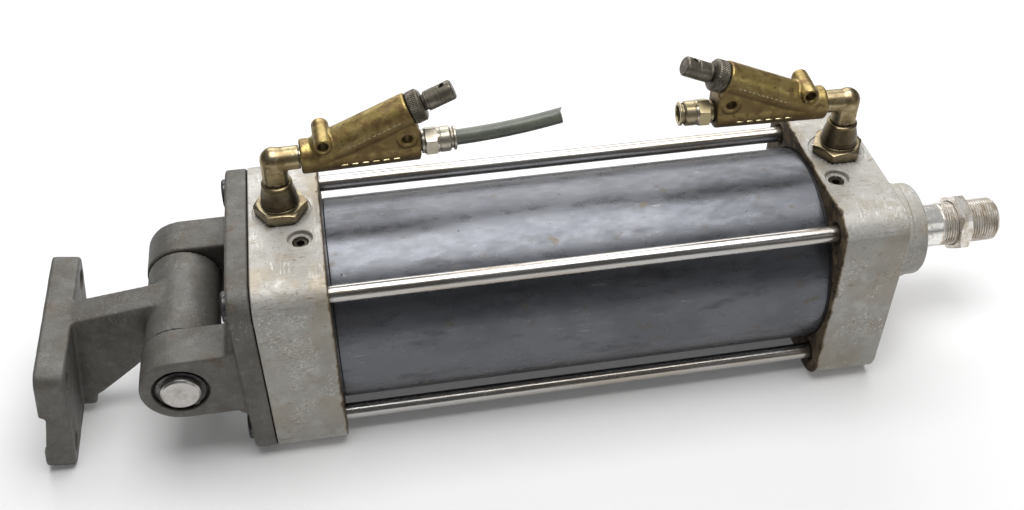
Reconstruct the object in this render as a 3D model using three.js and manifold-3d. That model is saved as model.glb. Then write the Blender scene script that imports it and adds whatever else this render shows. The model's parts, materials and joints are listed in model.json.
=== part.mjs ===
// A double-acting pneumatic cylinder with tie rods (bore 100 mm, stroke 200 mm), drawn retracted.
// It has a rear clevis with a 90 degree pivot bracket.
// Each port has a flow-control valve on a swivel elbow.
// Millimetres, +Z up. While it is built, X runs along the rod axis from the rear cap's back face.
// At the end the whole object is moved so that the origin is the middle of its underside.
import * as THREE from "three";
import { mergeVertices } from "three/addons/utils/BufferGeometryUtils.js";
import Module from "manifold-3d";

const wasm = await Module();
wasm.setup();

// ---- Driving dimensions ----
const GAP = 0.3; // clearance between pieces that touch
const BORE = 100;
const STROKE = 200;
const CAP = { size: 115, corner: 15.5, rear: 37, front: 35 };
// outer is a radius; seat is the depth that the tube is sunk in each cap.
const BARREL = { visible: 262, outer: 54, seat: 5, seal: 1.6 };
const TIE = { pitch: 88, radius: 4.4, nutRadius: 7.7, nutLength: 20 };
const ROD = { radius: 12.5, threadRadius: 9.85, threadStart: 384, end: 419.5 };
const BOSS = { radius: 27.3, length: 34, seat: 3 };
const PORT = { inset: 17.3, y: 8, radius: 10.8 };
const CUSHION = { x: 8.3, y: -15, seatRadius: 6.3, screwRadius: 4 };
const CLEVIS = { plate: 12, band: 16.4, earOuter: 55, earInner: 30, earRadius: 20.5, pinX: -42 };
const PIN = { radius: 10, reach: 57.4 };
const BRACKET = { tilt: THREE.MathUtils.degToRad(8.1), eye: 19.5, halfWidth: 48, web: 17.5 };
// height is that of the arm above the caps; swivel turns each valve towards the far side.
const VALVE = {
  height: 32.8,
  lean: THREE.MathUtils.degToRad(22.5),
  body: 9,
  swivel: THREE.MathUtils.degToRad(1.8),
};
const SIDES = { small: 8, mid: 12, large: 20 }; // sides of round shapes
const CAP_TOP = CAP.size / 2;
const LENGTH = CAP.rear + BARREL.visible + CAP.front;
const BARREL_END = CAP.rear + BARREL.visible;

// ---- Materials ----
const metal = (color, roughness, metalness = 1) =>
  new THREE.MeshStandardMaterial({ color, roughness, metalness });
const finish = {
  capAlloy: metal(0xb4b2ac, 0.5),
  barrelAlloy: metal(0x9a9ca3, 0.25),
  polishedSteel: metal(0xd2d2d4, 0.12),
  castIron: metal(0x6e6c66, 0.65, 0.6),
  plainSteel: metal(0xb9b8b5, 0.35),
  darkSteel: metal(0x3a3a3c, 0.5),
  yellowSteel: metal(0x9c8f66, 0.4),
  valveBrass: metal(0x84753a, 0.42),
  elbowBrass: metal(0xa8976c, 0.38),
  nickel: metal(0xcfc8b4, 0.25),
  knobSteel: metal(0x5f5b52, 0.5),
  bronze: metal(0x9c7a45, 0.5),
  rubber: metal(0x1c1c1c, 0.8, 0),
  tube: metal(0x6d7468, 0.45, 0),
};

// ---- Solids ----
// A closed geometry as a manifold-3d solid with its faces pointing out.
function solid(geometry) {
  const bare = geometry.index ? geometry.toNonIndexed() : geometry.clone();
  bare.deleteAttribute("normal");
  bare.deleteAttribute("uv");
  const merged = mergeVertices(bare, 1e-4);
  const points = merged.getAttribute("position");
  const [a, b, c] = [new THREE.Vector3(), new THREE.Vector3(), new THREE.Vector3()];
  const faces = [];
  let volume = 0;
  for (let i = 0; i < merged.index.count; i += 3) {
    const face = [0, 1, 2].map((k) => merged.index.getX(i + k));
    if (new Set(face).size < 3) continue; // a face that shrank to a line on the axis of a lathe
    faces.push(face);
    [a, b, c].forEach((point, k) => point.fromBufferAttribute(points, face[k]));
    volume += a.dot(b.cross(c));
  }
  if (volume < 0) faces.forEach((face) => face.reverse());
  return new wasm.Manifold(
    new wasm.Mesh({ numProp: 3, vertProperties: points.array, triVerts: new Uint32Array(faces.flat()) }),
  );
}

// A manifold-3d solid as a three.js geometry with flat shading.
function geometryOf(made) {
  const { vertProperties, triVerts, numProp } = made.getMesh();
  const points = new Float32Array((vertProperties.length / numProp) * 3);
  for (let i = 0; i < points.length / 3; i++) {
    points.set(vertProperties.subarray(i * numProp, i * numProp + 3), i * 3);
  }
  const shared = new THREE.BufferGeometry();
  shared.setAttribute("position", new THREE.BufferAttribute(points, 3));
  shared.setIndex(new THREE.BufferAttribute(new Uint32Array(triVerts), 1));
  const geometry = shared.toNonIndexed();
  geometry.computeVertexNormals();
  return geometry;
}

const cut = (base, ...tools) =>
  geometryOf(tools.reduce((made, tool) => made.subtract(solid(tool)), solid(base)));
const join = (first, ...others) =>
  geometryOf(others.reduce((made, next) => made.add(solid(next)), solid(first)));
const common = (one, other) => geometryOf(solid(one).intersect(solid(other)));

// Turns a geometry made along +Z or round +Y so that it runs along the named axis.
const fromZ = { x: (g) => g.rotateY(Math.PI / 2), y: (g) => g.rotateX(-Math.PI / 2), z: (g) => g };
const fromY = { x: (g) => g.rotateZ(-Math.PI / 2), y: (g) => g, z: (g) => g.rotateX(Math.PI / 2) };

// A turned piece. profile holds [place along the axis, radius], and ends on the axis or closes on itself.
function turned(axis, profile, segments = SIDES.mid) {
  const outline = profile.map(([along, radius]) => new THREE.Vector2(radius, along));
  return fromY[axis](new THREE.LatheGeometry(outline, segments));
}

const bar = (axis, from, to, radius, segments = SIDES.mid, bevel = 0) =>
  turned(
    axis,
    [
      [from, 0],
      [from, radius - bevel],
      ...(bevel ? [[from + bevel, radius]] : []),
      ...(bevel ? [[to - bevel, radius]] : []),
      [to, radius - bevel],
      [to, 0],
    ],
    segments,
  );

const ring = (axis, from, to, outer, inner, segments = SIDES.mid) =>
  turned(
    axis,
    [
      [from, inner],
      [from, outer],
      [to, outer],
      [to, inner],
      [from, inner],
    ],
    segments,
  );

// A hexagon bar with its corners turned off at both ends.
function hexagon(axis, from, to, acrossFlats, bevel = 1, spin = 0) {
  const cornerRadius = acrossFlats / Math.sqrt(3);
  const prism = new THREE.CylinderGeometry(cornerRadius, cornerRadius, to - from, 6);
  prism.rotateY(spin).translate(0, (from + to) / 2, 0);
  return common(fromY[axis](prism), bar(axis, from, to, cornerRadius, 12, bevel));
}

const block = (x0, x1, y0, y1, z0, z1) =>
  new THREE.BoxGeometry(x1 - x0, y1 - y0, z1 - z0).translate((x0 + x1) / 2, (y0 + y1) / 2, (z0 + z1) / 2);

const at = (geometry, x, y, z) => geometry.translate(x, y, z);

function roundedRectangle(width, height, radius) {
  const [w, h] = [width / 2, height / 2];
  const shape = new THREE.Shape();
  shape.moveTo(w, -h + radius);
  shape.absarc(w - radius, h - radius, radius, 0, Math.PI / 2);
  shape.absarc(-w + radius, h - radius, radius, Math.PI / 2, Math.PI);
  shape.absarc(-w + radius, -h + radius, radius, Math.PI, Math.PI * 1.5);
  shape.absarc(w - radius, -h + radius, radius, Math.PI * 1.5, Math.PI * 2);
  return shape;
}

const extruded = (shape, depth, curveSegments = 4) =>
  new THREE.ExtrudeGeometry(shape, { depth, bevelEnabled: false, curveSegments });

// A rounded square bar along X.
const squareBar = (from, to) =>
  at(fromZ.x(extruded(roundedRectangle(CAP.size, CAP.size, CAP.corner), to - from)), from, 0, 0);

// A side view drawn as [x, z] points or a shape, given its thickness along Y about the middle plane.
function sideView(outline, thickness, curveSegments = 4) {
  const drawn = outline instanceof THREE.Shape;
  const shape = drawn ? outline : new THREE.Shape(outline.map(([x, z]) => new THREE.Vector2(x, z)));
  return at(extruded(shape, thickness, curveSegments).rotateX(Math.PI / 2), 0, thickness / 2, 0);
}

const corners = [
  [1, 1],
  [-1, 1],
  [-1, -1],
  [1, -1],
].map(([y, z]) => [(y * TIE.pitch) / 2, (z * TIE.pitch) / 2]);

const cylinder = new THREE.Group();

function add(parent, name, geometry, material) {
  const mesh = new THREE.Mesh(geometry, material);
  mesh.name = name;
  parent.add(mesh);
  return mesh;
}

// ---- Caps ----
// The port and the cushion screw's hole in a cap's top; side is 1 for the front cap and -1 for the rear cap.
function portAndScrewHoles(x, side) {
  const screwX = x - side * CUSHION.x;
  return [
    at(bar("z", 20, CAP_TOP + 1, PORT.radius), x, PORT.y, 0),
    at(bar("z", 38, CAP_TOP + 1, CUSHION.screwRadius + GAP, SIDES.small), screwX, CUSHION.y, 0),
    at(bar("z", CAP_TOP - 1.6, CAP_TOP + 1, CUSHION.seatRadius, SIDES.mid), screwX, CUSHION.y, 0),
  ];
}

function tieHoles(from, to, pocketFrom, pocketTo) {
  return corners.flatMap(([y, z]) => [
    at(bar("x", from - 1, to + 1, TIE.radius + GAP, SIDES.small), 0, y, z),
    at(bar("x", pocketFrom, pocketTo, TIE.nutRadius + GAP, SIDES.small), 0, y, z),
  ]);
}

const barrelSeat = (from, to) => ring("x", from, to, BARREL.outer + GAP, BORE / 2 - GAP - 1, SIDES.large);
const CHAMBER = 17; // radius of the cushion chamber
const SEAL_SEAT = 20; // radius of the cushion seal's groove
const GUIDE_BORE = 15.8; // radius of the bore that holds the rod's bush
const WIPER_SEAT = 18.8; // radius of the wiper's seat

function rearCap() {
  const inner = CAP.rear;
  return cut(
    squareBar(0, inner),
    bar("x", 14, inner + 1, CHAMBER),
    bar("x", inner - 8, inner - 3, SEAL_SEAT),
    barrelSeat(inner - BARREL.seat, inner + 1),
    ...portAndScrewHoles(PORT.inset, -1),
    ...tieHoles(0, inner, -1, TIE.nutLength + 0.5),
  );
}

function frontCap() {
  const inner = BARREL_END;
  return cut(
    squareBar(inner, LENGTH),
    bar("x", inner - 1, LENGTH - 8, CHAMBER),
    bar("x", inner + 3, inner + 8, SEAL_SEAT),
    bar("x", LENGTH - 9, LENGTH + 1, GUIDE_BORE),
    bar("x", LENGTH - BOSS.seat - GAP, LENGTH + 1, BOSS.radius + GAP + 0.1, SIDES.large),
    barrelSeat(inner - 1, inner + BARREL.seat),
    ...portAndScrewHoles(LENGTH - PORT.inset, 1),
    ...tieHoles(inner, LENGTH, LENGTH - TIE.nutLength - 0.5, LENGTH + 1),
  );
}

// The round boss that sits in the front cap's outer face, with the wiper's seat in its end.
function rodGuide() {
  const start = LENGTH - BOSS.seat;
  const end = LENGTH + BOSS.length;
  return turned("x", [
    [start, GUIDE_BORE],
    [start, BOSS.radius],
    [end - 1.5, BOSS.radius],
    [end, BOSS.radius - 1.5],
    [end, WIPER_SEAT],
    [end - 10, WIPER_SEAT],
    [end - 10, GUIDE_BORE],
    [start, GUIDE_BORE],
  ], SIDES.large);
}

function buildCapsAndBarrel() {
  add(cylinder, "rear_cap", rearCap(), finish.capAlloy);
  add(cylinder, "front_cap", frontCap(), finish.capAlloy);
  add(cylinder, "rod_guide", rodGuide(), finish.capAlloy);
  const sunk = BARREL.seat - BARREL.seal - 2 * GAP;
  const tubeEnds = [CAP.rear - sunk, BARREL_END + sunk];
  const tube = ring("x", ...tubeEnds, BARREL.outer, BORE / 2, SIDES.large);
  add(cylinder, "barrel_tube", tube, finish.barrelAlloy);
  corners.forEach(([y, z], i) => {
    const tieEnd = 6;
    const tie = at(bar("x", tieEnd, LENGTH - tieEnd, TIE.radius, SIDES.small), 0, y, z);
    add(cylinder, `tie_rod_${i + 1}`, tie, finish.polishedSteel);
    [
      ["rear", 0.5, TIE.nutLength, -1],
      ["front", LENGTH - TIE.nutLength, LENGTH - 0.5, 1],
    ].forEach(([end, from, to, side]) => {
      const bore = bar("x", from - 1, to + 1, TIE.radius + GAP, SIDES.small);
      const hex = hexagon("x", to - 9, to + 1, 10, 0.2);
      const socket = side > 0 ? hex : bar("x", from - 1, from + 9, 5.3, SIDES.small);
      const nut = cut(bar("x", from, to, TIE.nutRadius, SIDES.small, 0.6), bore, socket);
      add(cylinder, `${end}_tie_nut_${i + 1}`, at(nut, 0, y, z), finish.darkSteel);
    });
  });
}

// ---- Seals and guides of the barrel ----
function buildBarrelSeals() {
  const sealFrom = BARREL.seat - GAP - BARREL.seal;
  [
    ["rear", CAP.rear - BARREL.seat + GAP, CAP.rear - 7.7],
    ["front", BARREL_END + sealFrom, BARREL_END + 3.3],
  ].forEach(([end, barrelSeal, cushionSeal]) => {
    const seal = ring("x", barrelSeal, barrelSeal + BARREL.seal, BARREL.outer, BORE / 2, SIDES.large);
    add(cylinder, `${end}_barrel_seal`, seal, finish.rubber);
    const cushion = ring("x", cushionSeal, cushionSeal + 4.4, SEAL_SEAT - GAP, 16.7);
    add(cylinder, `${end}_cushion_seal`, cushion, finish.rubber);
  });
  const fit = GAP + 0.1;
  const bush = ring("x", LENGTH - 7.5, LENGTH + 23.5, GUIDE_BORE - fit, ROD.radius + fit);
  add(cylinder, "rod_bush", bush, finish.bronze);
  const wiperEnd = LENGTH + BOSS.length - 0.6;
  const wiper = ring("x", LENGTH + 24.3, wiperEnd, WIPER_SEAT - fit, ROD.radius + fit);
  add(cylinder, "rod_wiper", wiper, finish.rubber);
}

// ---- Rear clevis, its screws, pin and circlips ----
function clevisEar() {
  const { pinX, earRadius } = CLEVIS;
  const outline = new THREE.Shape();
  outline.moveTo(-CLEVIS.plate + 4, -earRadius);
  outline.lineTo(-CLEVIS.plate + 4, earRadius);
  outline.lineTo(pinX, earRadius);
  outline.absarc(pinX, 0, earRadius, Math.PI / 2, Math.PI * 1.5);
  outline.lineTo(-CLEVIS.plate + 4, -earRadius);
  return sideView(outline, CLEVIS.earOuter - CLEVIS.earInner, 10);
}

const recessDepth = 3.2;
const RECESS = 14.2; // radius of the circlip's recess in each ear

function buildClevis() {
  const { plate, band, earOuter, earInner, earRadius, pinX } = CLEVIS;
  const middle = (earOuter + earInner) / 2;
  const whole = join(
    squareBar(-plate, -GAP),
    block(-band, -plate + 1, -earOuter, earOuter, -earRadius - 3, earRadius + 3),
    at(clevisEar(), 0, middle, 0),
    at(clevisEar(), 0, -middle, 0),
  );
  const pinHole = at(bar("y", -earOuter - 1, earOuter + 1, PIN.radius + GAP, SIDES.large), pinX, 0, 0);
  const recesses = [-1, 1].map((side) => {
    const ends = [side * (earOuter - recessDepth), side * (earOuter + 1)].sort((a, b) => a - b);
    return at(bar("y", ...ends, RECESS, SIDES.large), pinX, 0, 0);
  });
  const screwHoles = corners.flatMap(([y, z]) => [
    at(bar("x", -plate - 1, 1, 5.3, SIDES.small), 0, y, z),
    at(bar("x", -plate - 1, -plate + 7, 8.6, SIDES.small), 0, y, z),
  ]);
  add(cylinder, "rear_clevis", cut(whole, pinHole, ...recesses, ...screwHoles), finish.castIron);

  corners.forEach(([y, z], i) => {
    const head = bar("x", -plate - 2.6, -plate + 6.7, 7.9, SIDES.small, 0.8);
    const shank = bar("x", -plate + 6, 5.4, 5, SIDES.small);
    const screw = cut(join(head, shank), hexagon("x", -plate - 4, -plate + 2, 8, 0.2));
    add(cylinder, `clevis_screw_${i + 1}`, at(screw, 0, y, z), finish.darkSteel);
  });

  const grooveAt = earOuter - recessDepth + 0.4;
  const groove = (side) => {
    const ends = [side * grooveAt, side * (grooveAt + 2)].sort((a, b) => a - b);
    return ring("y", ...ends, PIN.radius + 1, PIN.radius - 1.2, SIDES.large);
  };
  const pin = cut(bar("y", -PIN.reach, PIN.reach, PIN.radius, SIDES.large, 0.9), groove(-1), groove(1));
  add(cylinder, "pivot_pin", at(pin, pinX, 0, 0), finish.plainSteel);
  ["near", "far"].forEach((place, i) => {
    const side = i ? 1 : -1;
    const ends = [side * (grooveAt + 0.35), side * (grooveAt + 1.65)].sort((a, b) => a - b);
    const open = block(-2.5, 2.5, -60, 60, -20, -5);
    const clip = cut(ring("y", ...ends, 13.2, PIN.radius - 0.8, SIDES.large), open);
    add(cylinder, `circlip_${place}`, at(clip, pinX, 0, 0), finish.darkSteel);
  });
}

// ---- Pivot bracket, drawn about its own pin axis and tilted into place ----
function bracketWeb() {
  const { eye } = BRACKET;
  const web = new THREE.Shape();
  web.moveTo(-eye * 0.1, eye * 0.99);
  web.lineTo(-57, 4);
  web.lineTo(-57, -59);
  web.lineTo(-48, -59);
  web.lineTo(-48, -52);
  web.quadraticCurveTo(-47.5, -50.5, -45, -50);
  web.lineTo(-12, -15.4);
  web.absarc(0, 0, eye - 0.2, THREE.MathUtils.degToRad(232), THREE.MathUtils.degToRad(96), false);
  return sideView(web, BRACKET.web, 8);
}

function buildBracket() {
  const bracket = new THREE.Group();
  bracket.position.x = CLEVIS.pinX;
  bracket.rotation.y = BRACKET.tilt;
  const { eye, halfWidth } = BRACKET;
  const [back, face, top, bottom, corner] = [-71, -56, 4, -66, 7];
  const eyeHalf = CLEVIS.earInner - GAP - 0.1;
  const outline = roundedRectangle(top - bottom, 2 * halfWidth, corner);
  const plate = at(fromZ.x(extruded(outline, face - back)), back, 0, (top + bottom) / 2);
  const relief = new THREE.Shape();
  relief.moveTo(back - 1, -24);
  relief.quadraticCurveTo(back + 4, -24, back + 4.3, -29);
  relief.lineTo(back + 1.2, -52);
  relief.lineTo(back - 1, -53);
  const boltPlaces = [-1, 1].flatMap((side) => [-8, -54].map((z) => [side * 38, z]));
  const bolts = boltPlaces.map(([y, z]) => at(bar("x", back - 1, face + 1, 5.5, SIDES.small), 0, y, z));
  const whole = join(plate, bracketWeb(), bar("y", -eyeHalf, eyeHalf, eye, SIDES.large, 0.8));
  const reliefCut = sideView(relief, 2 * halfWidth + 2);
  const bushHole = bar("y", -eyeHalf - 1, eyeHalf + 1, 12.3, SIDES.large);
  add(bracket, "pivot_bracket", cut(whole, reliefCut, bushHole, ...bolts), finish.castIron);
  const bush = ring("y", -eyeHalf + 1, eyeHalf - 1, 12, PIN.radius + 0.35, SIDES.large);
  add(bracket, "eye_bush", bush, finish.bronze);
  cylinder.add(bracket);
}

// ---- Piston and rod ----
const PISTON = { from: CAP.rear + 1.5, length: BARREL.visible - STROKE - 3, wall: 0.5 };

function buildRod() {
  const { from, length } = PISTON;
  const to = from + length;
  const spigot = 15.6;
  const rod = turned("x", [
    [from - 17, 0],
    [from - 17, 7.6],
    [to - 6, 7.6],
    [to - 6, ROD.radius],
    [ROD.threadStart - 2.5, ROD.radius],
    [ROD.threadStart, ROD.threadRadius],
    [ROD.end - 1.8, ROD.threadRadius],
    [ROD.end, ROD.threadRadius - 1.8],
    [ROD.end, 0],
  ]);
  add(cylinder, "piston_rod", rod, finish.polishedSteel);

  const outer = BORE / 2 - PISTON.wall;
  const [sealWidth, sealDepth] = [6, 5];
  const [rearSeal, wear, frontSeal] = [from + 8, from + length / 2 - 8, to - 8 - sealWidth];
  const large = SIDES.large;
  const groove = (x, width, depth) =>
    ring("x", x - GAP, x + width + GAP, outer + 1, outer - depth - GAP, large);
  const piston = cut(
    bar("x", from, to, outer - 0.4, large, 1),
    groove(rearSeal, sealWidth, sealDepth),
    groove(frontSeal, sealWidth, sealDepth),
    groove(wear, 16, 2),
    bar("x", from - 1, to + 1, 7.9),
    bar("x", to - 6.3, to + 1, ROD.radius + GAP),
  );
  add(cylinder, "piston", piston, finish.capAlloy);
  [
    ["piston_seal_rear", rearSeal],
    ["piston_seal_front", frontSeal],
  ].forEach(([name, x]) => {
    add(cylinder, name, ring("x", x, x + sealWidth, outer, outer - sealDepth, large), finish.rubber);
  });
  add(cylinder, "piston_wear_ring", ring("x", wear, wear + 16, outer, outer - 2, large), finish.tube);
  add(cylinder, "piston_nut", ring("x", from - 18.5, from - GAP, spigot, 7.9), finish.plainSteel);
  const sleeve = ring("x", to + GAP, to + 22, spigot, ROD.radius + GAP);
  add(cylinder, "front_cushion_spigot", sleeve, finish.plainSteel);

  const nutFrom = 393.6;
  const nutTo = 401;
  const nut = cut(
    hexagon("x", nutFrom, nutTo, 30, 1.4, THREE.MathUtils.degToRad(18)),
    bar("x", nutFrom - 1, nutTo + 1, ROD.threadRadius + 0.6),
  );
  add(cylinder, "rod_lock_nut", nut, finish.plainSteel);
}

// ---- Ports: bushing, swivel base and cushion screw ----
const BASE = { top: CAP_TOP + 19.5, hexTop: CAP_TOP + 6.3, stemBore: 5.8 };

function buildPort(end, x, side) {
  const bushing = cut(
    join(
      hexagon("z", CAP_TOP + GAP, BASE.hexTop, 24, 1.2, THREE.MathUtils.degToRad(90)),
      bar("z", CAP_TOP - 14, CAP_TOP + 1, PORT.radius - GAP),
    ),
    bar("z", CAP_TOP - 15, BASE.hexTop + 1, 7),
  );
  add(cylinder, `${end}_port_bushing`, at(bushing, x, PORT.y, 0), finish.yellowSteel);

  const base = turned("z", [
    [CAP_TOP - 10, 4.4],
    [CAP_TOP - 10, 6.6],
    [BASE.hexTop + GAP, 6.6],
    [BASE.hexTop + GAP, 9.2],
    [BASE.hexTop + 2.4, 9.7],
    [BASE.hexTop + 7, 9],
    [BASE.top - 1, 7.7],
    [BASE.top, 7.1],
    [BASE.top, BASE.stemBore],
    [CAP_TOP + 8, BASE.stemBore],
    [CAP_TOP + 8, 4.4],
    [CAP_TOP - 10, 4.4],
  ]);
  add(cylinder, `${end}_swivel_base`, at(base, x, PORT.y, 0), finish.elbowBrass);

  const screw = cut(
    bar("z", 42, CAP_TOP - 3.4, CUSHION.screwRadius, SIDES.small, 0.5),
    hexagon("z", CAP_TOP - 7.5, CAP_TOP, 4, 0.1),
  );
  add(cylinder, `${end}_cushion_screw`, at(screw, x - side * CUSHION.x, CUSHION.y, 0), finish.darkSteel);
}

// ---- Flow-control valve, drawn from its port's axis with its arm along +X at height 0 ----
const ARM = { radius: 6, stem: 6.6, shoulder: 13.4 };
const RUN = { end: 73.2, fitting: 75.4, hexEnd: 82.2, roundEnd: 88.8 };
const LUG = { x: 25, z: 10.8 };
const PAD = { x: 66.4, z: 8.6 };
const NEEDLE_SEAT = new THREE.Vector3(69.9, 0, 20.7); // middle of the housing's end face

// Places a turned piece, drawn along +X from 0, on the needle's axis from the housing's end face.
const onNeedle = (geometry) =>
  geometry.rotateY(-VALVE.lean).translate(NEEDLE_SEAT.x, NEEDLE_SEAT.y, NEEDLE_SEAT.z);

function valveElbow() {
  const foot = BASE.hexTop + 3 - CAP_TOP - VALVE.height;
  const rim = BASE.top - CAP_TOP - VALVE.height + GAP;
  return cut(
    join(
      bar("z", foot, rim + 1, BASE.stemBore - 0.4),
      bar("z", rim, 0, ARM.stem),
      new THREE.SphereGeometry(ARM.stem, SIDES.mid, SIDES.small),
      bar("x", 0, ARM.shoulder - GAP, ARM.radius),
      bar("x", ARM.shoulder - 2, ARM.shoulder + 7, 4.6),
    ),
    bar("z", foot - 1, 0, 2.8, SIDES.small),
    bar("x", 0, ARM.shoulder + 8, 2.8, SIDES.small),
  );
}

function valveBody() {
  const halfFlat = 8.3;
  const faceX = NEEDLE_SEAT.x - ARM.radius;
  const foot = -faceX / Math.cos(VALVE.lean) + 18;
  const wedge = [
    [ARM.shoulder + 8, -2.5],
    [RUN.end, -2.5],
    [RUN.end, 12.4],
    [72.4, 13.2],
    [NEEDLE_SEAT.x, NEEDLE_SEAT.z],
    [20.5, 0],
  ];
  const lug = at(bar("y", -10.2, 10.2, 4.4, SIDES.mid, 0.6), LUG.x, 0, LUG.z);
  const pad = at(bar("y", -9, 9, 5, SIDES.mid, 0.3), PAD.x, 0, PAD.z);
  return cut(
    join(
      bar("x", ARM.shoulder, RUN.end, VALVE.body, SIDES.mid, 0.7),
      onNeedle(bar("x", foot, 0, VALVE.body)),
      sideView(wedge, 2 * halfFlat),
      lug,
      pad,
    ),
    bar("x", ARM.shoulder - 1, ARM.shoulder + 8, 5, SIDES.small),
    bar("x", 0, RUN.end - 8, 2.8, SIDES.small),
    bar("x", RUN.end - 9, RUN.end + 1, 5, SIDES.small),
    onNeedle(bar("x", -34, 1, 3.6, SIDES.small)),
    at(bar("y", -12, 12, 2.6, SIDES.small), LUG.x, 0, LUG.z),
    at(bar("y", -12, 12, 2.5, SIDES.small), PAD.x, 0, PAD.z),
  );
}

function tubeFitting() {
  const profile = [
    [RUN.end - 7, 3],
    [RUN.end - 7, 4.6],
    [RUN.fitting - 1.6, 4.6],
    [RUN.fitting - 1.6, 6],
    [RUN.fitting + 0.2, 6],
    [RUN.fitting + 0.2, 6.5],
    [RUN.roundEnd - 0.6, 6.5],
    [RUN.roundEnd, 5.9],
    [RUN.roundEnd, 5.5],
    [RUN.end + 3, 5.5],
    [RUN.end + 3, 3],
    [RUN.end - 7, 3],
  ];
  const hex = cut(
    hexagon("x", RUN.fitting, RUN.hexEnd, 13.4, 0.7, Math.PI / 6),
    bar("x", RUN.end, RUN.hexEnd + 1, 6.2),
  );
  return join(turned("x", profile), hex);
}

function buildValve(end, x, turn) {
  const valve = new THREE.Group();
  valve.position.set(x, PORT.y, CAP_TOP + VALVE.height);
  valve.rotation.z = turn;
  add(valve, `${end}_valve_elbow`, valveElbow(), finish.elbowBrass);
  add(valve, `${end}_valve_body`, valveBody(), finish.valveBrass);
  add(valve, `${end}_tube_fitting`, tubeFitting(), finish.nickel);
  const collar = turned("x", [
    [RUN.roundEnd - 8, 4.4],
    [RUN.roundEnd - 8, 5.1],
    [RUN.roundEnd + 1.5, 5.1],
    [RUN.roundEnd + 1.5, 6.2],
    [RUN.roundEnd + 2.8, 6.2],
    [RUN.roundEnd + 2.8, 4.4],
    [RUN.roundEnd - 8, 4.4],
  ]);
  add(valve, `${end}_release_collar`, collar, finish.nickel);
  const lockRing = turned("x", [
    [GAP, 3.9],
    [GAP, 8.4],
    [5.6, 8.5],
    [6.8, 7.7],
    [6.8, 3.9],
    [GAP, 3.9],
  ]);
  add(valve, `${end}_lock_ring`, onNeedle(lockRing), finish.knobSteel);
  const needle = cut(
    turned("x", [
      [-30, 0],
      [-30, 0.6],
      [-25, 3.1],
      [7.1, 3.1],
      [7.1, 4.1],
      [8.6, 4.1],
      [8.6, 5.1],
      [22.4, 5.1],
      [23.2, 4.3],
      [23.2, 0],
    ]),
    at(bar("z", -6, 6, 1.4, SIDES.small), 18.5, 0, 0),
  );
  add(valve, `${end}_needle`, onNeedle(needle), finish.knobSteel);
  cylinder.add(valve);
  return valve;
}

// A short piece of 8 mm tube, pushed into the rear valve's fitting and slightly bent upwards.
function buildTubeStub(valve) {
  const radius = 4;
  const section = new THREE.Shape();
  section.absarc(0, 0, radius, 0, Math.PI * 2);
  const route = new THREE.CatmullRomCurve3([
    new THREE.Vector3(RUN.roundEnd - 9, 0, 0),
    new THREE.Vector3(RUN.roundEnd, 0, 0),
    new THREE.Vector3(RUN.roundEnd + 14, 0, 0.4),
    new THREE.Vector3(RUN.roundEnd + 29, 0, 1.5),
    new THREE.Vector3(RUN.roundEnd + 44, 0, 3.4),
    new THREE.Vector3(RUN.roundEnd + 59, 0, 6),
  ]);
  const tube = new THREE.ExtrudeGeometry(section, { steps: 8, extrudePath: route, curveSegments: 5 });
  add(valve, "tube_stub", tube, finish.tube);
}

buildCapsAndBarrel();
buildBarrelSeals();
buildClevis();
buildBracket();
buildRod();
buildPort("rear", PORT.inset, -1);
buildPort("front", LENGTH - PORT.inset, 1);
const rearValve = buildValve("rear", PORT.inset, VALVE.swivel);
buildValve("front", LENGTH - PORT.inset, Math.PI - VALVE.swivel);
buildTubeStub(rearValve);

// The origin goes to the middle of the underside.
const group = new THREE.Group();
group.add(cylinder);
const bounds = new THREE.Box3().setFromObject(cylinder, true);
const middle = bounds.getCenter(new THREE.Vector3());
cylinder.position.set(-middle.x, -middle.y, -bounds.min.z);

export default group;
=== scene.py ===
"""Looks of a used pneumatic cylinder with a rear clevis, a pivot bracket and two flow-control valves.

Pieces are drawn in millimetres in a frame that suits them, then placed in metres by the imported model.
"""
import json
import math

import bmesh
import bpy
from mathutils import Matrix, Vector, noise


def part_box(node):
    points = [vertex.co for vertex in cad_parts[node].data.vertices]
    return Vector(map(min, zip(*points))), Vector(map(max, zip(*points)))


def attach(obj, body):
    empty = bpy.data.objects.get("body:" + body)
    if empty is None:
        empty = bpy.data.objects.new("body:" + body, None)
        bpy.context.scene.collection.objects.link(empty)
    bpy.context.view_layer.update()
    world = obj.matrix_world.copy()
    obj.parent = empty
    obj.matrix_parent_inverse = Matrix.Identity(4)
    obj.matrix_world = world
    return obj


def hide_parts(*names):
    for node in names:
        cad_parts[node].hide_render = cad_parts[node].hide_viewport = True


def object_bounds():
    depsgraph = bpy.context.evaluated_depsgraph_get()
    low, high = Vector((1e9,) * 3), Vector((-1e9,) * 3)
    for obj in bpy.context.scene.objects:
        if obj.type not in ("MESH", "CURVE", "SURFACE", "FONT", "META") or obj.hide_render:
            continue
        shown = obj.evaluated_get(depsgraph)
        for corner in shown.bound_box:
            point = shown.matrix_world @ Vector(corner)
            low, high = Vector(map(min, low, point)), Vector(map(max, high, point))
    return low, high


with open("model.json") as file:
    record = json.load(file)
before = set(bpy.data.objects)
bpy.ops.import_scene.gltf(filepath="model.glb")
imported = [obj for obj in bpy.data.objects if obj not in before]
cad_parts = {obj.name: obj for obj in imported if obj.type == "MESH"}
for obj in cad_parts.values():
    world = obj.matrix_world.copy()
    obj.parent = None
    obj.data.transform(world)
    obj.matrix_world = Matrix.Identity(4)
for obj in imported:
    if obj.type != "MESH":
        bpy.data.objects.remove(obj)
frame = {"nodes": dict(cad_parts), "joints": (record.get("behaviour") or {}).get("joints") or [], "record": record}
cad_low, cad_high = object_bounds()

MM = 0.001
TAU = math.tau
scene = bpy.context.scene

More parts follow.
